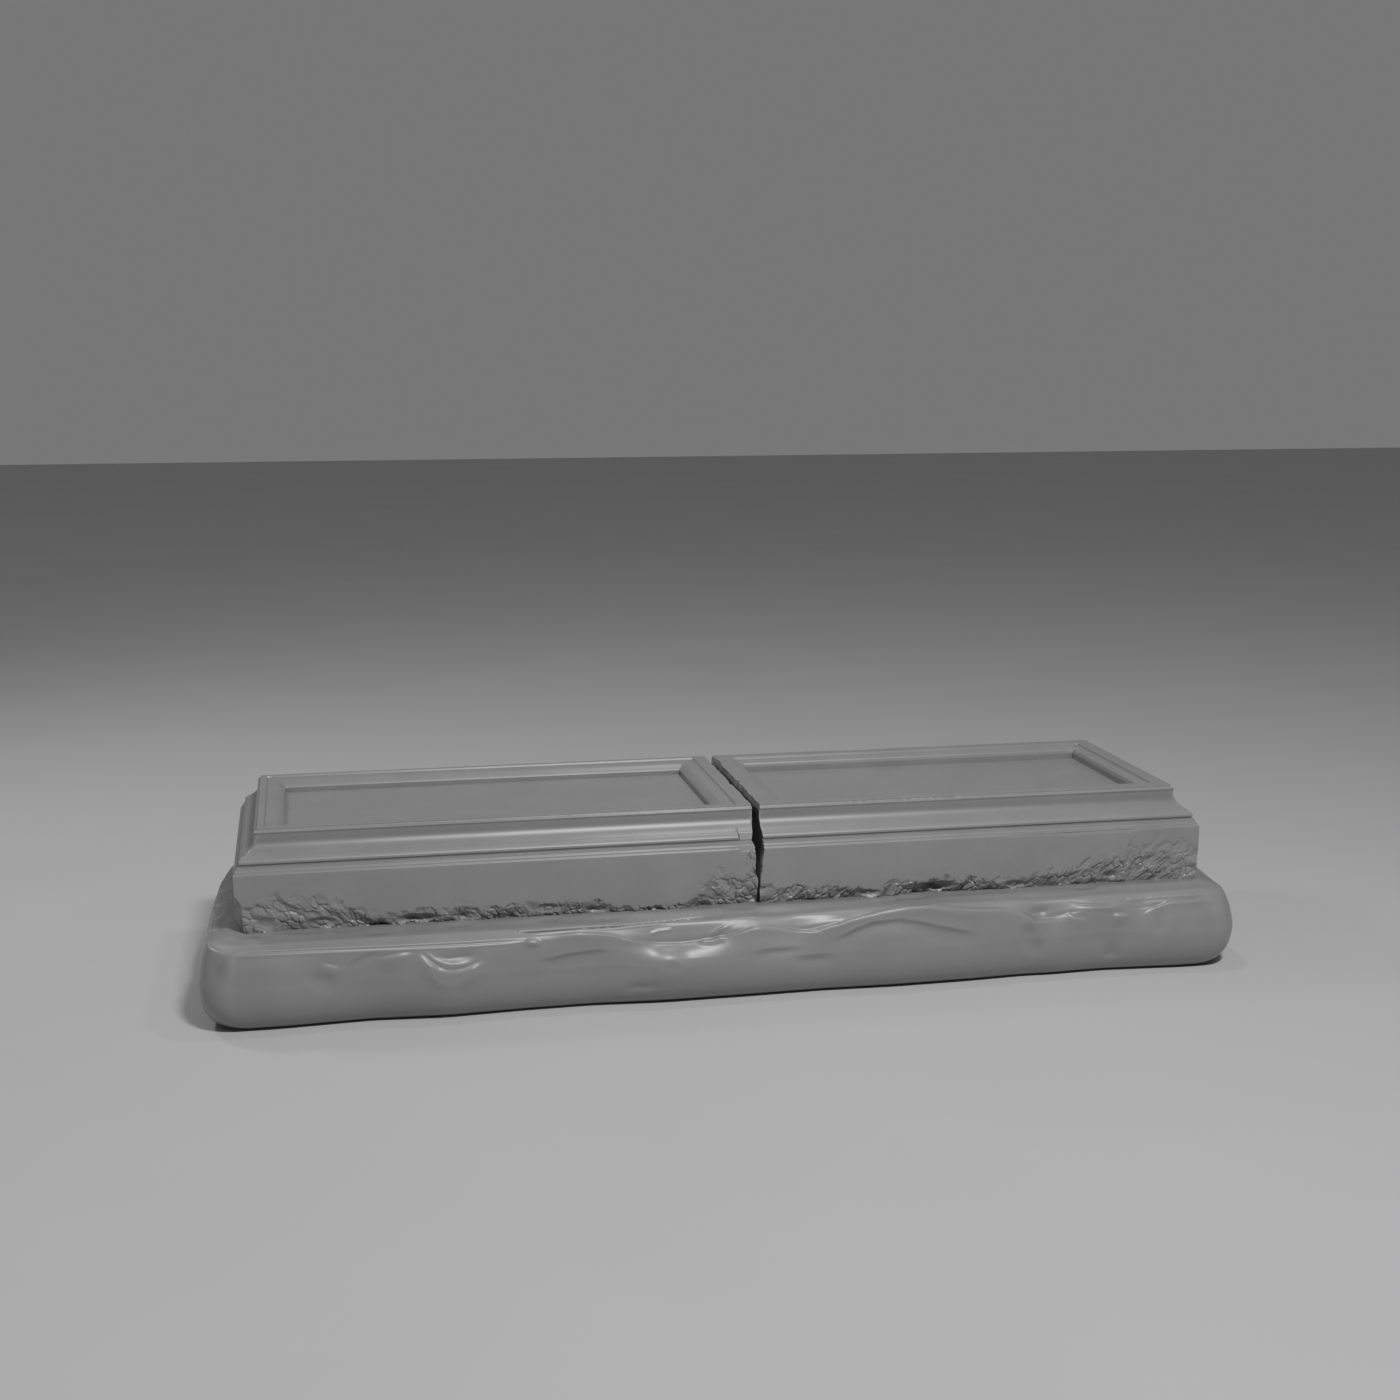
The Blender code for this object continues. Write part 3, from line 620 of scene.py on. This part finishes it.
# Strokes on the slab's front: ridges, and hollows (rise below 0). Each is a line of places
# (along, up the face and on over the ledge), its reach above and below, its rise and how
# sharp its middle is, from 0 a soft swelling to 1 a crease.
slabStrokes = [
    # the dished ledge beside the stones, with its pools and dips
    ([(0.088, 0.501), (0.215, 0.475), (0.398, 0.450), (0.618, 0.441), (0.823, 0.436), (1.030, 0.431),
      (1.240, 0.436), (1.418, 0.438), (1.597, 0.438)], 0.055, 0.055, -0.005, 0.0),
    ([(0.364, 0.418), (0.548, 0.407)], 0.04, 0.04, -0.004, 0.0),
    ([(1.186, 0.425), (1.327, 0.425)], 0.04, 0.04, -0.0045, 0.0),
    ([(1.738, 0.382), (1.841, 0.386), (1.950, 0.383)], 0.055, 0.055, -0.006, 0.0),
    ([(2.178, 0.420), (2.412, 0.455), (2.642, 0.460), (2.867, 0.445),
      (3.102, 0.448)], 0.045, 0.045, -0.004, 0.0),
    ([(-0.020, 0.452), (0.140, 0.450)], 0.035, 0.040, -0.0065, 0.0),
    ([(0.680, 0.452), (0.820, 0.450)], 0.035, 0.040, -0.0065, 0.0),
    ([(1.000, 0.452), (1.130, 0.450)], 0.035, 0.040, -0.0065, 0.0),
    ([(1.660, 0.452), (1.820, 0.450)], 0.035, 0.040, -0.0065, 0.0),
    ([(2.300, 0.452), (2.460, 0.450)], 0.035, 0.040, -0.0065, 0.0),
    ([(2.980, 0.452), (3.120, 0.450)], 0.035, 0.040, -0.0065, 0.0),
    # the straight double arris on the left and the worn knob at its end
    ([(-0.031, 0.327), (0.214, 0.319), (0.544, 0.312), (0.780, 0.311),
      (0.971, 0.312)], 0.007, 0.006, 0.0024, 0.8),
    ([(-0.031, 0.316), (0.213, 0.309), (0.544, 0.302), (0.779, 0.300),
      (0.970, 0.303)], 0.005, 0.005, -0.0022, 0.8),
    ([(-0.031, 0.305), (0.213, 0.298), (0.543, 0.291), (0.779, 0.288),
      (0.970, 0.293)], 0.006, 0.012, 0.0018, 0.8),
    ([(0.982, 0.292), (1.002, 0.289)], 0.020, 0.026, 0.008, 0.4),
    # the long crack in the ledge, hooked at its left end, with a raised lip in front of it
    ([(0.935, 0.383), (0.944, 0.345), (1.062, 0.346), (1.198, 0.348), (1.297, 0.354), (1.373, 0.369),
      (1.482, 0.383), (1.565, 0.390), (1.625, 0.389)], 0.006, 0.006, -0.0125, 0.9),
    ([(0.958, 0.333), (1.061, 0.334), (1.197, 0.335), (1.296, 0.342), (1.371, 0.351), (1.479, 0.361),
      (1.562, 0.370)], 0.006, 0.01, 0.0025, 0.7),
    # the brow right of the knob, falling away to the right
    ([(1.046, 0.309), (1.084, 0.312), (1.140, 0.314), (1.206, 0.310), (1.262, 0.303), (1.325, 0.286),
      (1.366, 0.273), (1.418, 0.254)], 0.016, 0.04, 0.0065, 0.8),
    # left corner: a short upright arris with the corner drawn in beside it
    ([(-0.060, 0.180), (-0.057, 0.321)], 0.045, 0.045, -0.008, 0.1),
    ([(-0.018, 0.216), (-0.016, 0.317)], 0.014, 0.014, 0.0045, 0.8),
    # the left bulge: a crease, a lip under it and a streak that rises to the right
    ([(0.342, 0.227), (0.369, 0.241), (0.403, 0.258), (0.446, 0.277),
      (0.503, 0.289)], 0.02, 0.02, -0.0045, 0.4),
    ([(0.271, 0.256), (0.303, 0.239), (0.336, 0.233), (0.366, 0.233)], 0.012, 0.055, 0.005, 0.6),
    ([(0.269, 0.199), (0.292, 0.191)], 0.05, 0.05, -0.005, 0.0),
    ([(0.449, 0.252), (0.512, 0.264), (0.543, 0.269), (0.576, 0.271),
      (0.603, 0.270)], 0.012, 0.06, 0.007, 0.7),
    # the shell-shaped scoop: a crisp rim under it, a second fine rim inside
    ([(0.636, 0.262), (0.709, 0.242), (0.777, 0.251), (0.828, 0.262)], 0.04, 0.035, -0.009, 0.1),
    ([(0.590, 0.275), (0.609, 0.260), (0.635, 0.227), (0.664, 0.196), (0.690, 0.181), (0.717, 0.176),
      (0.748, 0.181), (0.782, 0.196), (0.810, 0.211), (0.844, 0.232)], 0.014, 0.06, 0.0125, 0.8),
    ([(0.614, 0.289), (0.636, 0.264), (0.659, 0.239), (0.695, 0.221), (0.725, 0.214), (0.755, 0.214),
      (0.790, 0.222)], 0.01, 0.012, 0.0045, 0.8),
    # undercut creases on the face
    ([(0.988, 0.215), (1.022, 0.216), (1.057, 0.217), (1.105, 0.227), (1.161, 0.233), (1.224, 0.237),
      (1.293, 0.232)], 0.014, 0.055, -0.0065, 0.3),
    ([(1.728, 0.174), (1.760, 0.182), (1.829, 0.192), (1.932, 0.197),
      (1.975, 0.190)], 0.016, 0.045, -0.007, 0.2),
    ([(1.872, 0.159), (1.905, 0.160), (2.048, 0.162), (2.084, 0.155)], 0.012, 0.035, -0.0045, 0.2),
    ([(2.027, 0.214), (2.059, 0.223), (2.099, 0.233), (2.132, 0.248), (2.198, 0.272), (2.300, 0.274),
      (2.366, 0.259), (2.432, 0.238), (2.519, 0.217), (2.615, 0.200)], 0.016, 0.06, -0.008, 0.4),
    # an upright rib and valleys in the face
    ([(1.461, 0.255), (1.469, 0.092)], 0.08, 0.08, 0.008, 0.2),
    ([(1.289, 0.099), (1.380, 0.081), (1.449, 0.081)], 0.05, 0.07, -0.006, 0.0),
    ([(2.786, 0.213), (2.810, 0.161)], 0.05, 0.05, -0.007, 0.0),
    ([(3.064, 0.139), (3.161, 0.123)], 0.06, 0.06, -0.006, 0.0),
    ([(3.288, 0.268), (3.286, 0.199)], 0.045, 0.045, -0.006, 0.0),
    # the knob from which the right-hand brow spreads
    ([(1.412, 0.315), (1.434, 0.324), (1.476, 0.328)], 0.01, 0.014, 0.003, 0.7),
    ([(1.613, 0.288), (1.624, 0.299), (1.653, 0.312), (1.682, 0.325),
      (1.704, 0.341)], 0.012, 0.016, 0.005, 0.7),
    ([(1.593, 0.263), (1.621, 0.261), (1.650, 0.269)], 0.016, 0.030, 0.0060, 0.5),
    ([(1.636, 0.267), (1.670, 0.267), (1.702, 0.274), (1.735, 0.285), (1.770, 0.295), (1.819, 0.298),
      (1.867, 0.292), (1.921, 0.280), (1.973, 0.266), (2.001, 0.267), (2.027, 0.276), (2.070, 0.283),
      (2.125, 0.300), (2.162, 0.307), (2.207, 0.314), (2.250, 0.327), (2.316, 0.333), (2.373, 0.340),
      (2.431, 0.343), (2.479, 0.334), (2.528, 0.320), (2.604, 0.312), (2.692, 0.308),
      (2.757, 0.297)], 0.016, 0.055, 0.0075, 0.8),
    ([(2.456, 0.351), (2.511, 0.333), (2.579, 0.328), (2.694, 0.330),
      (2.759, 0.318)], 0.008, 0.008, -0.0025, 0.5),
    # bowls and small ridges on the right
    ([(2.783, 0.320), (2.831, 0.308), (2.884, 0.303)], 0.035, 0.035, -0.008, 0.1),
    ([(2.742, 0.308), (2.768, 0.287), (2.794, 0.268), (2.819, 0.255), (2.848, 0.256), (2.882, 0.259),
      (2.918, 0.273)], 0.014, 0.055, 0.011, 0.8),
    ([(2.928, 0.297), (2.944, 0.279), (2.956, 0.261), (2.985, 0.248),
      (3.020, 0.247)], 0.012, 0.045, 0.007, 0.7),
    ([(2.950, 0.294), (2.987, 0.298), (3.024, 0.297), (3.093, 0.294), (3.136, 0.296),
      (3.173, 0.302)], 0.012, 0.022, 0.0055, 0.7),
    ([(2.916, 0.343), (2.989, 0.320), (3.083, 0.307), (3.142, 0.311)], 0.008, 0.008, -0.0025, 0.5),
    ([(3.090, 0.255), (3.136, 0.254), (3.183, 0.249)], 0.018, 0.045, 0.009, 0.5),
    # the right-hand double arris
    ([(3.184, 0.332), (3.224, 0.334)], 0.016, 0.02, 0.005, 0.5),
    ([(3.185, 0.333), (3.300, 0.332), (3.444, 0.329), (3.520, 0.349)], 0.008, 0.009, 0.0042, 0.8),
    ([(3.223, 0.319), (3.299, 0.318), (3.442, 0.314), (3.514, 0.324)], 0.007, 0.007, -0.0026, 0.6),
    ([(3.213, 0.240), (3.237, 0.256), (3.270, 0.276), (3.330, 0.296), (3.439, 0.298),
      (3.508, 0.302)], 0.012, 0.05, 0.0075, 0.8),
]
# The left end's arris and the furrows across it: lines of (along, across, up), reach and rise
endFurrows = [
    ([(-0.085, 0.40, 0.283), (-0.095, 0.05, 0.283), (-0.080, -0.075, 0.284), (-0.045, -0.118, 0.284),
      (-0.010, -0.128, 0.282)], 0.014, 0.005),
    ([(-0.13, 0.10, 0.27), (-0.02, 0.13, 0.305)], 0.020, -0.007),
    ([(-0.13, 0.24, 0.27), (-0.02, 0.25, 0.305)], 0.024, -0.008),
    ([(-0.12, 0.40, 0.27), (-0.02, 0.44, 0.305)], 0.022, -0.008),
    ([(-0.11, 0.60, 0.27), (-0.02, 0.62, 0.305)], 0.026, -0.009),
    ([(-0.10, 0.82, 0.27), (-0.01, 0.80, 0.305)], 0.024, -0.007),
]


def alongLine(places, line):
    # for each place: how far it is from the line, how far its nearest point is from the line's
    # closer end, and that point
    line = [np.array(point) for point in line]
    lengths = [np.linalg.norm(end - start) for start, end in zip(line, line[1:])]
    whole = sum(lengths)
    distance = np.full(len(places), 1e9)
    passed = np.zeros(len(places))
    nearest = np.zeros(places.shape)
    before = 0
    for start, end, length in zip(line, line[1:], lengths):
        span = end - start
        share = np.clip(((places - start) @ span) / (span @ span), 0, 1)
        point = start + share[:, None] * span
        away = np.linalg.norm(places - point, axis=1)
        closer = away < distance
        distance = np.where(closer, away, distance)
        passed = np.where(closer, before + share * length, passed)
        nearest = np.where(closer[:, None], point, nearest)
        before += length
    return distance, np.minimum(passed, whole - passed), whole, nearest


def strokeFall(places, line, above, below, sharp):
    # 1 on the line, less to both sides of it and towards its two ends
    low = np.min(line, axis=0) - max(above, below)
    high = np.max(line, axis=0) + max(above, below)
    near = np.flatnonzero(np.all((places > low) & (places < high), axis=1))
    fall = np.zeros(len(places))
    if len(near) == 0:
        return fall
    distance, fromEnd, whole, nearest = alongLine(places[near], line)
    reach = np.where(places[near, -1] > nearest[:, -1], above, below)
    away = np.clip(distance / reach, 0, 1)
    # a short line is a round knob or dip
    ends = ease(fromEnd / min(0.10, 0.45 * whole)) if whole > 0.07 else 1.0
    fall[near] = ((1 - sharp) * hump(away) + sharp * (1 - away) ** 1.5) * ends
    return fall


def outsideStones(x, y):
    # how far a place lies outside the stones' footprint
    return np.hypot(np.maximum(0, np.maximum(-x, x - stonesLength)), np.maximum(0, np.maximum(-y, y - 1.0)))


def wearSlab(piece, rows):
    points = readPoints(piece)
    rows = np.array(rows)
    ring = np.abs(points[:, 2][:, None] - rows[:, 1][None, :]).argmin(axis=1)
    inset, height, faceShare, edgeShare, rippleShare = rows[ring].T
    x, y, up = points.T.copy()
    # outward in plan: straight out from the sides, turning round the corners
    corner = 0.105
    outX = x - np.clip(x, -slab["left"] + inset + corner, stonesLength + slab["right"] - inset - corner)
    outY = y - np.clip(y, -slab["front"] + inset + corner, 1.0 + slab["back"] - inset - corner)
    size = np.maximum(1e-6, np.hypot(outX, outY))
    outX, outY = outX / size, outY / size
    atFront = np.maximum(0, -outY)
    run = x - y
    plainLump = slab["lump"] * (ripple(run, 0.6 + 2.2 * np.minimum(height, slab["edgeUp"]), 0.83) - 1)
    edge = alongTable(slab["edge"], x, 0.035)
    face = alongTable(slab["face"], x, 0.070)
    frontLump = -faceShare * face - edgeShare * np.maximum(0, slab["edgeUp"] - edge)
    lump = (plainLump * (1 - atFront) + frontLump * atFront) * ease((0.14 - inset) / 0.05)
    belowEdge = np.clip((height - slab["footRound"]) / (slab["edgeUp"] - slab["footRound"]), 0, 1)
    aboveEdge = np.clip((height - slab["edgeUp"]) / (slab["height"] - slab["edgeUp"]), 0, 1)
    worn = slab["footRound"] + belowEdge * (edge - slab["footRound"]) + aboveEdge * (slab["height"] - edge)
    worn = np.where(height < slab["footRound"], height, worn)
    plain = height + slab["ripple"] * ripple(run, 1.1, 0.47) * rippleShare
    up = plain * (1 - atFront) + worn * atFront
    x = x + outX * lump + slab["leftTaper"] * np.maximum(0, y) ** 2 * np.clip((0.30 - x) / 0.43, 0, 1)
    y = y + outY * lump
    # flat under the stones and a little round them
    seat = ease((outsideStones(x, y) - 0.006) / 0.06)
    up = np.where(height > 0.298, slab["height"] + (up - slab["height"]) * seat, up)
    writePoints(piece, np.stack([x, y, up], axis=1))


def carveStrokes(piece):
    points = readPoints(piece)
    normals = readPoints(piece, "normal")
    # the stones' broken foot lets the wear run in a little under the front
    outside = outsideStones(points[:, 0], points[:, 1])
    free = ease((np.where(outside > 0, outside, -np.clip(points[:, 1], 0, 0.02)) + 0.012) / 0.03)
    onFront = (points[:, 1] < 0.02) & (points[:, 2] > 0.07)
    unrolled = np.stack([points[:, 0], points[:, 1] + slab["front"] + points[:, 2]], axis=1)
    move = np.zeros(len(points))
    for line, above, below, rise, sharp in slabStrokes:
        move = move + rise * strokeFall(unrolled, line, above, below, sharp) * onFront
    for line, reach, rise in endFurrows:
        move = move + rise * strokeFall(points, line, reach, reach, 0.4)
    writePoints(piece, points + normals * (move * free)[:, None])


def carveSlab():
    rows = slabRings()
    low = (-slab["left"], -slab["front"])
    high = (stonesLength + slab["right"], 1.0 + slab["back"])
    piece = growShell(slab["name"], (low, high), slab["cornerRound"], slab["cornerSteps"],
                      slab["cuts"], [(row[0], row[0], row[1]) for row in rows])
    wearSlab(piece, rows)
    # twice as fine where the crack runs
    refine(piece, lambda place, normal: (0.92 < place.x < 1.66 and -0.125 < place.y < -0.050
                                         and place.z > 0.25), 1)
    carveStrokes(piece)
    points = readPoints(piece) + np.array([stonesLeft, stonesFront, 0])
    spare = np.array([0.0002, 0.0002, 0.0])
    writePoints(piece, np.clip(points, np.array(slabLow) + spare, np.array(slabHigh) - spare))
    pickOnly(piece)
    bpy.ops.object.shade_smooth()
    markHollows(piece, 4)
    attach(piece, "root")
    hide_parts("base_slab")
    print(slab["name"], "carved,", len(piece.data.vertices), "points")
    return piece


slabPiece = carveSlab()


# Materials
def tint(hexColour):
    # sRGB hex to the linear colour that Blender works in
    parts = [int(hexColour[i:i + 2], 16) / 255 for i in (1, 3, 5)]
    return [p / 12.92 if p <= 0.04045 else ((p + 0.055) / 1.055) ** 2.4 for p in parts] + [1.0]


def addNode(tree, kind, settings):
    # a lower-case name is a setting of the node itself; the others are inputs, which take a
    # value or another node's output
    node = tree.nodes.new(kind)
    for name, value in settings.items():
        if isinstance(value, bpy.types.NodeSocket):
            tree.links.new(value, node.inputs[name])
        elif isinstance(name, str) and name[0].islower():
            setattr(node, name, value)
        else:
            node.inputs[name].default_value = value
    return node


def newMaterial(name):
    material = bpy.data.materials.new(name)
    material.use_nodes = True
    tree = material.node_tree
    tree.nodes.clear()
    return material, tree


def layColours(tree, base, layers):
    # each layer is (pattern, low, high, most, colour): none of the colour where the pattern is
    # at its low value, and the most of it at the high one
    colour = tint(base)
    for pattern, low, high, most, over in layers:
        share = addNode(tree, "ShaderNodeMapRange", {
            "Value": pattern, "From Min": low, "From Max": high, "To Min": 0.0, "To Max": most})
        mix = addNode(tree, "ShaderNodeMix", {
            "data_type": "RGBA", 0: share.outputs["Result"], 6: colour, 7: tint(over)})
        colour = mix.outputs[2]
    return colour


ledgerLook = {
    "rubbed": "#7f7f7f",        # the honed face
    "rubbedDark": "#7a7a7a",    # clouds of a darker bed in it
    "fleck": "#868686",
    "fresh": "#808080",         # broken faces
    # dust and painted shade, laid where the surface is hollow
    "dirtAndShade": "#5e5e5d",
    "roughness": 0.33,
    "brokenRoughness": 0.38,
    "bump": 0.03,
    "brokenBump": 0.30,
}


def rubbedLimestone():
    # Dense grey limestone, sawn and rubbed smooth: an even satin sheen, faint clouds and
    # flecks, dust with painted shade in the quirks of the mouldings, and a grainier stone where it is
    # broken.
    material, tree = newMaterial("rubbedGreyLimestone")
    place = addNode(tree, "ShaderNodeTexCoord", {}).outputs["Object"]
    broken = addNode(tree, "ShaderNodeAttribute", {"attribute_name": "broken"}).outputs["Fac"]
    hollow = addNode(tree, "ShaderNodeAttribute", {"attribute_name": "hollow"}).outputs["Fac"]
    # clouds about 180 mm across
    clouds = addNode(tree, "ShaderNodeTexNoise", {
        "Vector": place, "Scale": 5.5, "Detail": 5.0, "Roughness": 0.55}).outputs["Fac"]
    # flecks about 8 mm across
    flecks = addNode(tree, "ShaderNodeTexNoise", {
        "Vector": place, "Scale": 120.0, "Detail": 2.0}).outputs["Fac"]
    stone = layColours(tree, ledgerLook["rubbedDark"], [
        (clouds, 0.35, 0.65, 1.0, ledgerLook["rubbed"]),
        (flecks, 0.60, 0.74, 0.35, ledgerLook["fleck"]),
        (broken, 0.0, 1.0, 1.0, ledgerLook["fresh"]),
        # painted shade with dust: darker where the surface lies hollow, in the quirks and creases
        (hollow, 0.15, 1.6, 0.55, ledgerLook["dirtAndShade"]),
    ])
    rough = addNode(tree, "ShaderNodeMapRange", {
        "Value": broken, "To Min": ledgerLook["roughness"], "To Max": ledgerLook["brokenRoughness"]})
    # rubbing marks and grain are too fine to see at this distance, so they are drawn 4 mm wide
    grain = addNode(tree, "ShaderNodeTexNoise", {"Vector": place, "Scale": 230.0, "Detail": 3.0})
    strength = addNode(tree, "ShaderNodeMapRange", {
        "Value": broken, "To Min": ledgerLook["bump"], "To Max": ledgerLook["brokenBump"]})
    bump = addNode(tree, "ShaderNodeBump", {
        "Distance": 0.0015, "Height": grain.outputs["Fac"], "Strength": strength.outputs["Result"]})
    shader = addNode(tree, "ShaderNodeBsdfPrincipled", {
        "Base Color": stone, "Roughness": rough.outputs["Result"], "Normal": bump.outputs["Normal"],
        "IOR": 1.52, "Metallic": 0.0})
    addNode(tree, "ShaderNodeOutputMaterial", {"Surface": shader.outputs[0]})
    return material


slabLook = {
    "worn": "#7f7f7f",
    "wornDark": "#767676",
    "rubbedEdge": "#858585",
    # dirt and painted shade, laid where the surface is hollow
    "dirtAndShade": "#666665",
    "roughness": (0.28, 0.40),    # from the most polished stretches to the dullest
    "bump": 0.05,
}


def weatheredLimestone():
    # The same grey limestone left rough and worn round by weather and hands: darker clouds,
    # paler rubbed ridges, dirt and painted shade in the hollows, and a soft polish that catches the light.
    material, tree = newMaterial("weatherWornLimestone")
    place = addNode(tree, "ShaderNodeTexCoord", {}).outputs["Object"]
    hollow = addNode(tree, "ShaderNodeAttribute", {"attribute_name": "hollow"}).outputs["Fac"]
    # stains about 250 mm across
    clouds = addNode(tree, "ShaderNodeTexNoise", {
        "Vector": place, "Scale": 4.0, "Detail": 2.0, "Roughness": 0.5}).outputs["Fac"]
    stone = layColours(tree, slabLook["wornDark"], [
        (clouds, 0.15, 0.85, 1.0, slabLook["worn"]),
        # painted shade with dirt: darker where the surface lies hollow
        (hollow, 0.1, 1.0, 0.4, slabLook["dirtAndShade"]),
        (hollow, -0.1, -0.8, 0.4, slabLook["rubbedEdge"]),
    ])
    # the grain is too fine to see at this distance, so it is drawn 6 mm wide
    grain = addNode(tree, "ShaderNodeTexNoise", {"Vector": place, "Scale": 160.0, "Detail": 4.0})
    bump = addNode(tree, "ShaderNodeBump", {
        "Distance": 0.0015, "Strength": slabLook["bump"], "Height": grain.outputs["Fac"]})
    polished, dull = slabLook["roughness"]
    rough = addNode(tree, "ShaderNodeMapRange", {
        "Value": clouds, "From Min": 0.1, "From Max": 0.9, "To Min": polished, "To Max": dull})
    shader = addNode(tree, "ShaderNodeBsdfPrincipled", {
        "Base Color": stone, "Roughness": rough.outputs["Result"], "Normal": bump.outputs["Normal"],
        "IOR": 1.52, "Metallic": 0.0})
    addNode(tree, "ShaderNodeOutputMaterial", {"Surface": shader.outputs[0]})
    return material


def giveMaterial(piece, material):
    piece.data.materials.clear()
    piece.data.materials.append(material)


ledgerMaterial = rubbedLimestone()
giveMaterial(leftPiece, ledgerMaterial)
giveMaterial(rightPiece, ledgerMaterial)
giveMaterial(slabPiece, weatheredLimestone())
print("materials given")


# Floor, light and camera
studio = {
    "floor": "#bcbcbc",
    "floorClouds": "#b9b9b9",
    "air": "#dcdcdc",
    "airStrength": 0.26,
    # (name, place, target, size, power)
    "lights": [("softTop", (0.5, -0.2, 4.2), (0, -0.3, 0.3), (0.30, 0.20), 22),
               ("softSide", (-4.4, 2.6, 4.6), (-0.4, -0.2, 0.3), (0.9, 0.7), 90),
               ("softFront", (1.0, -6.2, 7.5), (0, 0, 0.3), (1.3, 0.9), 700)],
    "lens": 50,
    "sensor": 36,
    "eye": (0.2763, -6.497, 1.6475),    # from the left stone's front foot corner and the top flat
    "pitch": 10.6315,
    "yaw": 11.5414,
}


def setStage():
    bpy.ops.object.select_all(action="DESELECT")
    bpy.ops.mesh.primitive_plane_add(size=60, location=(0, 0, -0.0005))
    ground = bpy.context.object
    ground.name = "studioFloor"
    # smooth plaster, matt and pale, with faint clouds about 800 mm across
    material, tree = newMaterial("palePlasterFloor")
    place = addNode(tree, "ShaderNodeTexCoord", {}).outputs["Object"]
    clouds = addNode(tree, "ShaderNodeTexNoise", {"Vector": place, "Scale": 1.2, "Detail": 3.0})
    colour = layColours(tree, studio["floorClouds"], [
        (clouds.outputs["Fac"], 0.3, 0.7, 1.0, studio["floor"])])
    shader = addNode(tree, "ShaderNodeBsdfPrincipled", {"Base Color": colour, "Roughness": 0.85})
    addNode(tree, "ShaderNodeOutputMaterial", {"Surface": shader.outputs[0]})
    giveMaterial(ground, material)
    world = bpy.data.worlds.new("paleAir")
    bpy.context.scene.world = world
    world.use_nodes = True
    air = world.node_tree.nodes["Background"]
    air.inputs["Color"].default_value = tint(studio["air"])
    air.inputs["Strength"].default_value = studio["airStrength"]


def addLight(name, place, target, size, power):
    bpy.ops.object.light_add(type="AREA", location=place)
    light = bpy.context.object
    light.name = name
    light.data.shape = "RECTANGLE"
    light.data.size, light.data.size_y = size
    light.data.energy = power
    light.rotation_euler = (Vector(target) - Vector(place)).to_track_quat("-Z", "Y").to_euler()


def addCamera():
    eyeX, eyeY, eyeUp = studio["eye"]
    place = (stonesLeft + eyeX, stonesFront + eyeY, leftHigh.z + eyeUp)
    turn = (math.radians(90 - studio["pitch"]), 0, math.radians(-studio["yaw"]))
    bpy.ops.object.camera_add(location=place, rotation=turn)
    camera = bpy.context.object
    camera.data.lens = studio["lens"]
    camera.data.sensor_width = studio["sensor"]
    bpy.context.scene.camera = camera


setStage()
for light in studio["lights"]:
    addLight(*light)
addCamera()
print("stage set")
